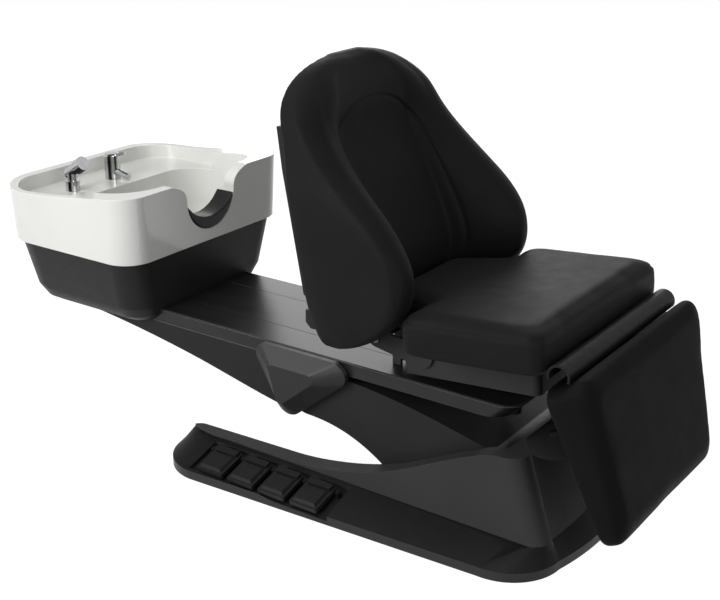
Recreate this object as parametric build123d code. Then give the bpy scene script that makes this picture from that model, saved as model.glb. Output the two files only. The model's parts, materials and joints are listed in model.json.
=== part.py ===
from build123d import *
import os
from math import atan2, cos, degrees, hypot, radians, sin, sqrt, tan

# Hair washing bed: a basin at the rear, a reclining seat with a leg rest at the front, and a
# long deck that one lift arm raises from a low base.
# X runs from the basin to the leg rest, Y across the bed, Z up.
# The origin is on the floor under the lift pivot. All sizes are in millimetres.

os.makedirs("parts", exist_ok=True)

# Shared clearances
cut = 5.0                   # overrun of a cutting shape
pin_fit = 0.05              # radial clearance of a pin in its hole
seat_gap = 0.3              # clearance between pieces that rest on each other
run_gap = 3.0               # clearance between pieces that swing past each other
cover_gap = 1.0             # seam between two mouldings

# Base: plan of the lower rim, from the front to the tail of each leg
glide_height = 4.0
glide_radius = 22.0
plate_thickness = 8.0
plate_inset = 14.0
rim_top = 24.0
apron_top = 58.0
base_front_bow = 21.0       # how far the front edge bows past its corners
base_front_x = 158.0
base_front_half = 175.0
corner_mid_x = 120.0
corner_mid_half = 261.0
corner_side_x = 30.0
corner_side_half = 295.0
tail_side_x = -735.0
tail_side_half = 330.0
tail_mid_x = -822.0
tail_mid_half = 292.0
tail_end_x = -858.0
tail_end_half = 215.0
tail_inner_x = -812.0
tail_inner_half = 176.0
tail_round = 4.0            # bulge of the tail's inner corner
crotch_x = -420.0
crotch_bow = 80.0

# Base: foot of the tower on the apron
foot_front_x = 131.0
foot_front_bow = 6.0
foot_front_half = 160.0
foot_corner_x = 88.0
foot_corner_half = 214.0
foot_corner_bulge_share = 0.29
foot_tail_half = 206.0
foot_mid_x = -800.0
foot_mid_half = 203.0
foot_end_x = -838.0
foot_end_half = 191.0
tower_draft = 9.0           # each side leans in by this much at the top
tower_front_lean = 64.0     # the front leans back by this much at the top

# Tower: height of its side walls
ledge_height = 63.0
tower_height = 239.0
tower_rise_x = -540.0
tower_peak_x = 44.0
tower_curve_x_shares = (0.27, 0.52, 0.74, 0.88)
tower_curve_z_shares = (0.10, 0.36, 0.72, 0.93)
slot_half = 160.0
slot_front_x = 90.0
ridge_x = 20.0
saddle_radius = 364.0
saddle_slope = 31.0

# Lift: pivots of the arm on the base and on the deck
lift_z = 137.0
deck_pivot_x = -510.0
deck_pivot_z = 232.0
link_drop = 45.0            # the levelling link's pivots lie this far under the arm's
lift_pin_radius = 14.0
deck_pin_radius = 12.0
link_pin_radius = 6.0

# Lift arm: frame plates inside a moulded cover
arm_plate_half = 96.0
arm_plate_thickness = 8.0
arm_plate_depth = 56.0
arm_tube_radius = 21.0
arm_end_radius = 26.0
arm_half = 156.0
arm_wall = 5.0
drum_radius = 84.0
knuckle_radius = 66.0
hump_x = -300.0
hump_z = 272.0
hump_end_x = -151.0
hump_end_z = 246.0
belly_x = -301.0
belly_z = 99.0
belly_mid_x = -385.0
belly_mid_z = 143.0
shoulder_turn = 50.0        # ends of the top curve on its two rounds, in degrees
drum_top_turn = 17.0
drum_low_turn = 9.0
mouth_share = 0.9           # of the knuckle
floor_drop = 30.0           # the cover is open below this depth under the lift pivot
arm_mouth_x = -478.0
arm_mouth_half = 132.0

# Levelling link
link_half = 62.0
link_thickness = 8.0
link_depth = 20.0
link_cross_share = 0.8

# Lift actuator
ram_base_x = -70.0
ram_base_z = 38.0
ram_arm_x = -300.0
ram_arm_z = 150.0
ram_body_radius = 22.0
ram_body_length = 178.0
ram_bore_radius = 12.0
ram_rod_radius = 10.0
ram_eye_radius = 16.0
ram_eye_half = 12.0
ram_pin_radius = 6.0
ram_open_gap = 3.2          # play of the rod eye on its pin
ram_overlap = 24.0

# Base frame: uprights for the lift pin, lugs for link and ram
upright_half = 126.0
upright_thickness = 10.0
upright_reach = 34.0
lug_half = 40.0
lug_thickness = 16.0
lug_radius = 12.0
ram_lug_half = 14.0
ram_lug_thickness = 8.0
anchor_spacing_x = 520.0
anchor_spacing_y = 500.0
anchor_radius = 6.5
anchor_x = -330.0

# Foot pedals in a recess of the near leg's apron
pedal_count = 4
pedal_pitch = 92.0
pedal_first_x = -682.0
pedal_width = 76.0
pedal_body = 11.0
pedal_pad_inset_share = 0.075
pedal_pad_height = 6.0
pedal_pad_bevel = 5.0
pedal_block_height = 8.0
pedal_groove = 2.0
pedal_step_share = 0.225    # of the pedal's depth
pedal_land = 15.6           # apron left behind the recess
pedal_rise = 9.0            # top of the pedal's body above the apron
pedal_hinge_radius = 3.0
pedal_margin = 24.0
pedal_lip = 9.0             # rim left in front of the recess
pedal_gap = 4.0
recess_depth = 11.0
tray_thickness = 2.0
pedal_tray_gap = 0.3

# Deck and beam
deck_top = 333.0
deck_thickness = 33.0
deck_half = 168.0
deck_front_x = 36.0
deck_front_lean = 30.0
deck_rear_x = -1290.0
deck_corner = 46.0
deck_edge = 2.5
deck_wall = 4.5
panel_half = 79.0
panel_thickness = 4.0
panel_rear_x = -960.0
panel_front_x = -20.0
panel_seam = 1.0
beam_wall = 5.0
beam_rear_x = -1300.0
beam_rear_depth = 6.0
beam_mid_x = -974.0
beam_mid_depth = 44.0
beam_low_x = -807.0
beam_low_depth = 75.0
beam_end_x = -640.0
beam_end_depth = 112.0
knuckle_gap = 3.0
lift_travel = 30.0          # turn of the lift arm, in degrees

# Deck frame
deck_frame_thickness = 6.0
deck_frame_rear_x = -620.0
deck_frame_front_x = -20.0
deck_frame_half = 122.0
rail_inner = 96.0
rail_width = 24.0
rail_depth = 22.0
rail_rear_x = -1080.0
deck_lug_half = 108.0
deck_lug_thickness = 10.0
deck_lug_reach = 40.0

# Triangular covers over the upper pivot
cover_standoff = 4.0
cover_base = 12.0
cover_height = 42.0
cover_left_x = -650.0
cover_right_x = -368.0
cover_tip_x = -556.0
cover_top_z = 331.0
cover_tip_z = 148.0
cover_left_z = 312.0
cover_right_z = 298.0
cover_left_chamfer = 30.0
cover_right_chamfer = 44.0
cover_tip_round = 40.0
cover_side_round = 26.0
cover_corner_round = 12.0
cover_foot_half = 60.0
cover_face_inset_x = 64.0
cover_face_inset_z = 34.0
cover_face_round = 14.0
cover_face_tip_share = 1.4

# Seat: its tilt hinge, and sizes along and across the tilted seat
seat_tilt = 5.0
tilt_x = -294.0
tilt_z = 352.0
tilt_pin_radius = 6.0
tilt_arm_half = 96.0
tilt_arm_thickness = 8.0
tilt_arm_depth = 11.0
box_rear = 40.0
box_front = 372.0
box_half = 150.0
box_bottom = -18.0
box_height = 94.0
box_wall = 3.0
box_corner = 18.0
board_thickness = 12.0
board_inset = 34.0
cushion_front = 441.0
cushion_rear = 118.0
cushion_tongue_rear = -8.0
cushion_half = 278.0
cushion_tongue_half = 136.0
cushion_throat_half = 188.0
cushion_thickness = 78.0
cushion_corner = 28.0
cushion_crown = 7.0
cushion_level_shares = (0.0, 0.06, 0.18, 0.5, 0.82, 0.94, 1.0)
cushion_inset_shares = (0.55, 0.22, 0.04, 0.0, 0.04, 0.22, 0.55)
cushion_edge = 26.0
crown_inset_share = 1.5

# Recline hinge on the seat
recline_local_x = -21.0
recline_local_z = 55.0
shaft_radius = 10.0
bracket_thickness = 8.0
bracket_depth = 52.0
bracket_front = 96.0
recline_eye_radius = 21.0
drive_radius = 30.0
drive_half = 62.0
drive_block = 40.0

# Leg rest hinge on the seat
leg_local_x = 470.5
leg_local_z = 81.0
leg_shaft_radius = 8.0
leg_bracket_rear = 300.0
leg_bracket_depth = 32.0
leg_bracket_half = 126.0
leg_eye_radius = 13.0
leg_drive_radius = 17.0
leg_drive_half = 90.0
strip_radius = 25.0
strip_wall = 5.0
strip_half = 256.0
strip_open_half = 67.0      # the strip is open over twice this angle, for the leg rest's arms
strip_open_turn = -95.0

# Leg rest, hanging forward from its hinge
leg_lean = 22.0
leg_half = 276.0
leg_half_low = 232.0        # half width at its foot
leg_front = 60.0            # face of the cushion in front of the hinge, at its top
leg_front_low = 12.0        # and at its foot
leg_back = -30.0            # back of the cushion behind the hinge
leg_board = 8.0
leg_top = 7.0
leg_length = 346.0
leg_edge = 22.0
leg_corner = 30.0
leg_crown = 6.0
leg_scoop = 32.0            # hollow of the cushion round the cover strip
leg_arm_half = 112.0
leg_arm_thickness = 8.0
leg_arm_length = 230.0
leg_arm_depth = 26.0
leg_board_top = 36.0
leg_board_low = 250.0
leg_board_inset = 18.0
leg_bar_shares = (0.45, 0.9)
leg_knee_share = 0.6

# Back, measured from the recline hinge
back_height = 588.0
back_half = 280.0
back_depth = 136.0          # how far the wings reach in front of the hinge
back_level_shares = (0.0, 0.04, 0.12, 0.20, 0.28, 0.365, 0.465, 0.605, 0.757, 0.84, 0.90, 0.95, 0.985, 1.0)
back_half_shares = (0.93, 0.975, 0.993, 1.0, 1.0, 1.0, 1.0, 0.99, 0.945, 0.90, 0.79, 0.61, 0.36, 0.18)
back_rear_shares = (-0.50, -0.59, -0.72, -0.81, -0.88, -0.95, -1.00, -1.08, -1.17, -1.26, -1.32, -1.34, -1.33, -1.31)
back_outer_shares = (-0.26, 0.14, 0.60, 0.82, 0.88, 0.82, 0.55, -0.10, -0.71, -0.93, -1.08, -1.17, -1.22, -1.24)
back_crest_shares = (-0.20, 0.20, 0.68, 0.92, 0.98, 0.90, 0.62, 0.02, -0.54, -0.71, -0.87, -1.02, -1.12, -1.18)
back_floor_shares = (-0.24, 0.02, 0.02, 0.02, -0.01, -0.12, -0.29, -0.56, -0.79, -0.76, -0.86, -1.00, -1.11, -1.17)
crest_half_share = 0.76
floor_half_share = 0.50
back_side_round = 14.0
wing_bulge_share = 0.22
flank_bulge_share = 0.10
floor_bulge_share = 0.10
notch_half = 178.0
notch_height = 65.0
shell_thickness = 53.0
shell_wall = 4.0
shell_half = 248.0
shell_low = 100.0
shell_high = 462.0
shell_low_back = 128.0
shell_mid = 370.0
shell_mid_back = 170.0
shell_high_back = 177.0
frame_arm_half = 134.0
frame_arm_thickness = 8.0
frame_arm_depth = 24.0
frame_bar_radius = 8.0
frame_slim = 8.0
hinge_cover_half = 186.0
hinge_cover_width = 78.0
hinge_cover_depth = 26.0
hinge_cover_low = 34.0
hinge_cover_high = 76.0
hinge_cover_rear = 112.0

# Tilt jack under the seat
jack_x = -60.0
jack_radius = 20.0
jack_depth = 62.0
jack_rod_radius = 9.0
jack_rod_length = 72.0
jack_flange = 6.0
jack_flange_radius = 30.0

# Basin
basin_rear_x = -1400.0
basin_front_x = -924.0
basin_half = 295.0
basin_low = 475.0
basin_rear_rim = 613.0
basin_mid_rim = 620.0
basin_front_rim = 642.0
basin_mid_x = -1131.0
basin_high_x = -979.0
basin_high_rim = 638.0
basin_front_round = 70.0
basin_rear_round = 115.0
basin_draft = 6.0
basin_wall = 22.0
basin_floor_wall = 9.0
ledge_z = 572.0
ledge_front_x = -1222.0
bowl_front_x = -958.0
bowl_half = 236.0
bowl_round = 90.0
bowl_bottom = 402.0
bowl_slope = 34.0
bowl_level_shares = (0.0, 0.05, 0.16, 0.45, 1.0)
bowl_slope_shares = (1.6, 1.1, 0.7, 0.3, 0.0)
neck_half = 152.0
neck_depth_z = 506.0
neck_radius = 86.0
neck_shoulder_rise = 44.0   # the flared shoulders reach this far above the round
neck_shoulder_slope = 0.45
neck_pad_thickness = 32.0
neck_pad_depth = 54.0
neck_pad_sag = 46.0         # depth of the hollow between the pad's tips
neck_pad_inset = 3.0

# Dark housing under the basin
housing_inset = 9.0
housing_front_x = -975.0
housing_rear_x = -1326.0
housing_low_half = 198.0
housing_level_shares = (0.0, 0.1, 0.28, 1.0)
housing_reach_shares = (0.0, 0.36, 0.62, 1.0)
housing_low = 300.0
housing_wall = 5.0
housing_round = 60.0

# Waste
drain_x = -1090.0
drain_radius = 30.0
drain_pipe_radius = 20.0
drain_flange_height = 5.0
drain_pipe_end = 292.0
strainer_radius = 19.0
strainer_holes = 8
strainer_hole_radius = 3.0
strainer_ring_share = 0.6
trap_radius = 24.0
trap_depth = 34.0
trap_wall = 3.0
outlet_radius = 14.0

# Taps on the rear ledge
mixer_x = -1290.0
mixer_y = 22.0
mixer_radius = 21.0
mixer_height = 46.0
mixer_cap_height = 22.0
lever_length = 34.0
lever_width = 14.0
lever_thickness = 7.0
spout_radius = 9.0
spout_length = 58.0
spout_drop = 12.0
lever_rise = 20.0
holder_x = -1290.0
holder_y = -120.0
holder_radius = 19.0
holder_height = 26.0
spray_stem_radius = 13.0
spray_stem_height = 44.0
spray_head_radius = 19.0
spray_head_length = 52.0
spray_tail_length = 36.0
spray_rise = 32.0


def box_between(x0, x1, y0, y1, z0, z1):
    """Box from its lowest to its highest corner."""
    return Pos((x0 + x1) / 2, (y0 + y1) / 2, (z0 + z1) / 2) * Box(x1 - x0, y1 - y0, z1 - z0)


def rod_y(x, z, y0, y1, radius):
    """Round bar across the bed."""
    return Pos(x, (y0 + y1) / 2, z) * Rot(90, 0, 0) * Cylinder(radius, y1 - y0)


def rod_x(y, z, x0, x1, radius):
    """Round bar along the bed."""
    return Pos((x0 + x1) / 2, y, z) * Rot(0, 90, 0) * Cylinder(radius, x1 - x0)


def rod_z(x, y, z0, z1, radius):
    """Upright round bar."""
    return Pos(x, y, (z0 + z1) / 2) * Cylinder(radius, z1 - z0)


def side_slab(face, y0, y1):
    """Face drawn with X and Z, thickened from y0 to y1."""
    return Pos(0, y1, 0) * extrude(Plane.XZ * face, y1 - y0, dir=(0, -1, 0))


def mirrored_y(shape):
    """The same piece on the other side of the bed."""
    return mirror(shape, about=Plane.XZ)


def both_sides(shape):
    return shape + mirrored_y(shape)


def rounded_face(points, radius):
    """Closed outline with equal rounds at its corners."""
    return make_face(FilletPolyline(*points, radius=radius, close=True))


def strut_face(x0, z0, x1, z1, depth0, depth1):
    """Outline of a flat bar with round ends about two centres."""
    length = hypot(x1 - x0, z1 - z0)
    turn = degrees(atan2(z1 - z0, x1 - x0))
    bar = Polygon((0, depth0), (length, depth1), (length, -depth1), (0, -depth0), align=None)
    shape = bar + Circle(depth0) + Pos(length, 0) * Circle(depth1)
    return Pos(x0, z0) * Rot(0, 0, turn) * shape


def strut_y(x0, z0, x1, z1, depth0, depth1, y0, y1):
    return side_slab(strut_face(x0, z0, x1, z1, depth0, depth1), y0, y1)


def arc_mid(a, b, bulge):
    """Point beside the middle of a chord, to the left of its direction by the bulge."""
    length = hypot(b[0] - a[0], b[1] - a[1])
    return (
        (a[0] + b[0]) / 2 - (b[1] - a[1]) / length * bulge,
        (a[1] + b[1]) / 2 + (b[0] - a[0]) / length * bulge,
    )


def arc(a, b, bulge):
    return ThreePointArc(a, arc_mid(a, b, bulge), b)


def save(name, shape):
    shape.label = name
    export_step(shape, os.path.join("parts", name + ".step"))


# Places worked out from the sizes above
rim_bottom = glide_height - cover_gap
plate_top = glide_height + plate_thickness
link_base_z = lift_z - link_drop
link_deck_z = deck_pivot_z - link_drop
deck_low = deck_top - deck_thickness
apron_slope = degrees(atan2(apron_top - rim_top, tail_side_half - foot_tail_half))
apron_reach = hypot(apron_top - rim_top, tail_side_half - foot_tail_half)
pedal_depth = apron_reach - pedal_lip - pedal_margin - pedal_land
seat_place = Plane(
    origin=(tilt_x, 0, tilt_z),
    x_dir=(cos(radians(seat_tilt)), 0, sin(radians(seat_tilt))),
    z_dir=(-sin(radians(seat_tilt)), 0, cos(radians(seat_tilt))),
)
recline_axis = seat_place.from_local_coords(Vector(recline_local_x, 0, recline_local_z))
leg_axis = seat_place.from_local_coords(Vector(leg_local_x, 0, leg_local_z))
leg_place = Plane(
    origin=leg_axis,
    x_dir=(sin(radians(leg_lean)), 0, -cos(radians(leg_lean))),
    z_dir=(cos(radians(leg_lean)), 0, sin(radians(leg_lean))),
)
box_top = box_bottom + box_height
board_low = box_top + seat_gap
board_high = board_low + board_thickness
cushion_low = board_low
beam_half = deck_half


# Base
def closed_outline(near_edges, joining_edges):
    """Face whose near half is mirrored across the bed."""
    far_edges = [mirror(edge, about=Plane.XZ) for edge in near_edges]
    return make_face(near_edges + far_edges + joining_edges)


def rim_corner_edges():
    """Near half of the lower rim, from the front corner to the tail's tip."""
    front = (base_front_x, -base_front_half)
    side = (corner_side_x, -corner_side_half)
    tail = (tail_side_x, -tail_side_half)
    tip = (tail_end_x, -tail_end_half)
    inner = (tail_inner_x, -tail_inner_half)
    return [
        ThreePointArc(front, (corner_mid_x, -corner_mid_half), side),
        Line(side, tail),
        ThreePointArc(tail, (tail_mid_x, -tail_mid_half), tip),
        arc(tip, inner, tail_round),
    ]


def rim_front_edge():
    return ThreePointArc(
        (base_front_x, -base_front_half),
        (base_front_x + base_front_bow, 0),
        (base_front_x, base_front_half),
    )


def tail_end_edge():
    return Line((tail_inner_x, -tail_inner_half), (tail_inner_x, tail_inner_half))


def rim_face():
    return closed_outline(rim_corner_edges(), [rim_front_edge(), tail_end_edge()])


def foot_face(draft, lean):
    """Outline of the tower, smaller by the draft and the front's lean."""
    front_x = foot_front_x - lean
    front = (front_x, -foot_front_half + draft)
    side = (foot_corner_x - lean, -foot_corner_half + draft)
    tail = (tail_side_x, -foot_tail_half + draft)
    tip = (foot_end_x, -foot_end_half + draft)
    inner = (tail_inner_x, -tail_inner_half)
    chord = hypot(front[0] - side[0], front[1] - side[1])
    edges = [
        arc(front, side, chord * foot_corner_bulge_share),
        Line(side, tail),
        ThreePointArc(tail, (foot_mid_x, -foot_mid_half + draft), tip),
        arc(tip, inner, tail_round),
    ]
    front_edge = ThreePointArc(front, (front_x + foot_front_bow, 0), (front[0], -front[1]))
    return closed_outline(edges, [front_edge, tail_end_edge()])


def leg_space(end_x):
    """Space between the two legs, which narrows to the slot of the lift arm."""
    outer = tail_inner_half + (tail_inner_half - slot_half) * cut / (crotch_x - tail_inner_x)
    points = (
        (tail_end_x - cut, -outer),
        (tail_inner_x, -tail_inner_half),
        (crotch_x, -slot_half),
        (end_x, -slot_half),
        (end_x, slot_half),
        (crotch_x, slot_half),
        (tail_inner_x, tail_inner_half),
        (tail_end_x - cut, outer),
    )
    return make_face(Polyline(*points, close=True))


def plate_outline():
    """Steel plate: the rim drawn in, with a round crotch between the legs."""
    crotch = make_face(
        [
            Line((crotch_x, -slot_half), (tail_inner_x, -tail_inner_half)),
            Line((tail_inner_x, -tail_inner_half), (tail_end_x - cut, -tail_inner_half)),
            Line((tail_end_x - cut, -tail_inner_half), (tail_end_x - cut, tail_inner_half)),
            Line((tail_end_x - cut, tail_inner_half), (tail_inner_x, tail_inner_half)),
            Line((tail_inner_x, tail_inner_half), (crotch_x, slot_half)),
            ThreePointArc((crotch_x, slot_half), (crotch_x + crotch_bow, 0), (crotch_x, -slot_half)),
        ]
    )
    return rim_face() - crotch


def anchor_points():
    reach_x = anchor_spacing_x / 2
    reach_y = anchor_spacing_y / 2
    return [(anchor_x + sx * reach_x, sy * reach_y) for sx in (-1, 1) for sy in (-1, 1)]


def make_base_plate():
    outline = offset(plate_outline(), -plate_inset)
    plate = Pos(0, 0, glide_height) * extrude(outline, plate_thickness, dir=(0, 0, 1))
    for x, y in anchor_points():
        plate -= rod_z(x, y, glide_height - cut, plate_top + cut, anchor_radius)
    return plate


def make_glides():
    """Rubber glides under the plate's corners and legs."""
    side = anchor_spacing_y / 2
    places = [(0, 0)]
    for x in (tail_side_x - glide_radius, crotch_x, corner_side_x):
        places += [(x, side), (x, -side)]
    return Compound(children=[rod_z(x, y, 0, glide_height, glide_radius) for x, y in places])


def pedal_place():
    """Frame on the apron: X along the leg, Y up the slope from the rim, Z out of it."""
    return Pos(0, -tail_side_half, rim_top) * Rot(apron_slope, 0, 0)


def recess_range():
    half = pedal_width / 2
    last = pedal_first_x + (pedal_count - 1) * pedal_pitch
    return pedal_first_x - half - pedal_margin, last + half + pedal_margin


def make_base_cover():
    """Moulded cover with a sloping apron, a pocket for the plate and a recess for the pedals."""
    rim = Pos(0, 0, rim_bottom) * extrude(rim_face(), rim_top - rim_bottom, dir=(0, 0, 1))
    apron = loft([Pos(0, 0, rim_top) * rim_face(), Pos(0, 0, apron_top) * foot_face(0, 0)], ruled=True)
    cover = rim + apron
    cover -= Pos(0, 0, -cut) * extrude(leg_space(slot_front_x), apron_top + cut * 2, dir=(0, 0, 1))
    pocket = offset(plate_outline(), -plate_inset + cover_gap)
    cover -= extrude(pocket, plate_top + seat_gap, dir=(0, 0, 1))
    first, last = recess_range()
    reach = pedal_lip + pedal_depth + pedal_margin
    cover -= pedal_place() * box_between(first, last, pedal_lip, reach, -recess_depth, recess_depth)
    return cover


def tower_profile():
    """Side view of the tower: low along the legs, then rising to the lift pivot."""
    run = tower_peak_x - tower_rise_x
    rise = tower_height - ledge_height
    points = [(tower_rise_x, ledge_height)]
    for x_share, z_share in zip(tower_curve_x_shares, tower_curve_z_shares):
        points.append((tower_rise_x + x_share * run, ledge_height + z_share * rise))
    points.append((tower_peak_x, tower_height))
    curve = Spline(*points, tangents=[(1, 0), (1, 0)])
    left = tail_end_x - cut
    right = foot_front_x + cut
    low = apron_top - cut
    lines = Polyline((tower_peak_x, tower_height), (right, tower_height), (right, low), (left, low),
                     (left, ledge_height), (tower_rise_x, ledge_height))
    return make_face([curve, lines])


def make_tower_cover():
    """Tower with its two side walls, drawn out of the apron."""
    low = apron_top + seat_gap
    body = loft(
        [Pos(0, 0, low) * foot_face(0, 0), Pos(0, 0, tower_height) * foot_face(tower_draft, tower_front_lean)],
        ruled=True,
    )
    body &= side_slab(tower_profile(), -tail_side_half, tail_side_half)
    body -= extrude(leg_space(ridge_x), tower_height + cut, dir=(0, 0, 1))
    body -= box_between(crotch_x, slot_front_x, -slot_half, slot_half, 0, lift_z)
    body -= rod_y(0, lift_z, -slot_half, slot_half, drum_radius + run_gap)
    saddle_drop = drum_radius + run_gap + cover_gap
    ridge_z = lift_z + sqrt(saddle_drop ** 2 - ridge_x ** 2) + run_gap
    saddle = rod_x(0, saddle_radius, 0, foot_front_x, saddle_radius)
    return body - Pos(ridge_x, 0, ridge_z) * Rot(0, saddle_slope, 0) * saddle


def make_base_frame():
    """Welded frame on the plate: uprights for the lift pin, lugs for the link and the ram."""
    foot_half = upright_reach * 2
    foot = box_between(ram_base_x - upright_reach, foot_half, -upright_half - upright_thickness,
                       upright_half + upright_thickness, plate_top, plate_top + arm_wall)
    boss = upright_reach - lug_radius / 2
    upright = Polygon((-foot_half, plate_top), (foot_half, plate_top), (boss, lift_z), (-boss, lift_z), align=None)
    upright = upright + Pos(0, lift_z) * Circle(boss) - Pos(0, lift_z) * Circle(lift_pin_radius + pin_fit)
    lug = Polygon((-upright_reach, plate_top), (upright_reach, plate_top), (lug_radius, link_base_z),
                  (-lug_radius, link_base_z), align=None)
    lug = lug + Pos(0, link_base_z) * Circle(lug_radius) - Pos(0, link_base_z) * Circle(link_pin_radius + pin_fit)
    ram_boss = ram_base_z - plate_top - arm_wall + cover_gap
    ram_lug = Polygon((ram_base_x - ram_boss, plate_top), (ram_base_x + ram_boss, plate_top),
                      (ram_base_x + lug_radius, ram_base_z), (ram_base_x - lug_radius, ram_base_z), align=None)
    ram_lug = ram_lug + Pos(ram_base_x, ram_base_z) * Circle(lug_radius)
    ram_lug -= Pos(ram_base_x, ram_base_z) * Circle(ram_pin_radius + pin_fit)
    frame = foot
    frame += both_sides(side_slab(upright, upright_half, upright_half + upright_thickness))
    frame += both_sides(side_slab(lug, lug_half, lug_half + lug_thickness))
    frame += both_sides(side_slab(ram_lug, ram_lug_half, ram_lug_half + ram_lug_thickness))
    return frame


def make_base_pins():
    lift_reach = upright_half + upright_thickness + cover_gap * 4
    link_reach = link_half + link_thickness + cover_gap * 2
    ram_reach = ram_lug_half + ram_lug_thickness + cover_gap
    pins = [
        rod_y(0, lift_z, -lift_reach, lift_reach, lift_pin_radius),
        rod_y(0, link_base_z, -link_reach, link_reach, link_pin_radius),
        rod_y(ram_base_x, ram_base_z, -ram_reach, ram_reach, ram_pin_radius),
    ]
    return Compound(children=pins)


def pedal_hinge_y():
    return pedal_lip + pedal_gap + pedal_depth - pedal_hinge_radius * 2


def pedal_hinge_z():
    return pedal_rise - pedal_body + pedal_hinge_radius * 2 - cover_gap * 2


def make_pedal_tray():
    """Floor of the recess with two posts that hold the pedals' shaft."""
    first, last = recess_range()
    reach = pedal_lip + pedal_depth + pedal_margin - pedal_tray_gap
    low = -recess_depth + pedal_tray_gap
    tray = box_between(first + pedal_tray_gap, last - pedal_tray_gap, pedal_lip + pedal_tray_gap, reach,
                       low, low + tray_thickness)
    y = pedal_hinge_y()
    z = pedal_hinge_z()
    width = pedal_hinge_radius * 2
    for index in range(pedal_count + 1):
        x = pedal_first_x + (index - 0.5) * pedal_pitch
        high = z + pedal_hinge_radius + cover_gap
        post = box_between(x - pedal_gap, x + pedal_gap, y - width, y + width, low, high)
        tray += post - rod_x(y, z, x - pedal_pitch, x + pedal_pitch, pedal_hinge_radius + pin_fit)
    return pedal_place() * tray


def make_pedal_shaft():
    half = pedal_pitch / 2 + pedal_gap * 2
    last = pedal_first_x + (pedal_count - 1) * pedal_pitch
    y = pedal_hinge_y()
    z = pedal_hinge_z()
    return pedal_place() * rod_x(y, z, pedal_first_x - half, last + half, pedal_hinge_radius)


def make_pedal(index):
    """Pedal with a raised block over its hinge and a raised, bevelled square pad."""
    x = pedal_first_x + index * pedal_pitch
    half = pedal_width / 2
    front = pedal_lip + pedal_gap
    rear = front + pedal_depth
    low = pedal_rise - pedal_body
    pedal = box_between(x - half, x + half, front, rear, low, pedal_rise)
    pedal = fillet(pedal.edges().filter_by(Axis.Z), pedal_gap)
    pad_inset = pedal_depth * pedal_pad_inset_share
    pad_x = half - pad_inset
    pad_front = front + pad_inset
    pad_rear = rear - pedal_depth * pedal_step_share
    depth = pad_rear - pad_front
    centre_y = (pad_front + pad_rear) / 2
    bevel = pedal_pad_bevel * 2
    pad = loft(
        [
            Pos(x, centre_y, pedal_rise) * Rectangle(pad_x * 2, depth),
            Pos(x, centre_y, pedal_rise + pedal_pad_height) * Rectangle(pad_x * 2 - bevel, depth - bevel),
        ],
        ruled=True,
    )
    y = pedal_hinge_y()
    z = pedal_hinge_z()
    block = box_between(x - pad_x, x + pad_x, pad_rear + pedal_groove, rear, pedal_rise,
                        pedal_rise + pedal_block_height)
    barrel = rod_x(y, z, x - half + pedal_gap, x + half - pedal_gap, pedal_hinge_radius * 2)
    bore = rod_x(y, z, x - half - cut, x + half + cut, pedal_hinge_radius + pin_fit)
    return pedal_place() * (pedal + pad + block + barrel - bore)


# Lift arm, link and ram
def arm_face(shrink):
    """Side view of the arm cover: two round ends, a humped top and a bowed belly."""
    drum = drum_radius - shrink
    knuckle = knuckle_radius - shrink
    turn = radians(shoulder_turn)
    shoulder = (deck_pivot_x + knuckle * cos(turn), deck_pivot_z + knuckle * sin(turn))
    turn = radians(drum_top_turn)
    drum_top = (-drum * sin(turn), lift_z + drum * cos(turn))
    turn = radians(drum_low_turn)
    drum_low = (-drum * sin(turn), lift_z - drum * cos(turn))
    knuckle_low = (deck_pivot_x, deck_pivot_z - knuckle)
    belly_end = (belly_x, belly_z + shrink)
    belly_mid = (belly_mid_x, belly_mid_z + shrink)
    top = Spline(shoulder, (hump_x, hump_z - shrink), (hump_end_x, hump_end_z - shrink), drum_top)
    front = Polyline(drum_top, (0, lift_z), drum_low, belly_end)
    belly = Spline(belly_end, belly_mid, knuckle_low)
    rear = Polyline(knuckle_low, (deck_pivot_x, deck_pivot_z), shoulder)
    body = make_face([top, front, belly, rear])
    return body + Pos(0, lift_z) * Circle(drum) + Pos(deck_pivot_x, deck_pivot_z) * Circle(knuckle)


def make_arm_cover():
    inner = arm_half - arm_wall
    cover = side_slab(arm_face(0), -arm_half, arm_half)
    cover -= side_slab(arm_face(arm_wall), -inner, inner)
    cover -= box_between(belly_x, drum_radius + cut, -inner, inner, 0, lift_z - floor_drop)
    mouth_rear = deck_pivot_x - knuckle_radius * mouth_share
    cover -= box_between(mouth_rear, arm_mouth_x, -arm_mouth_half, arm_mouth_half, deck_pivot_z, deck_top)
    return cover


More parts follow.
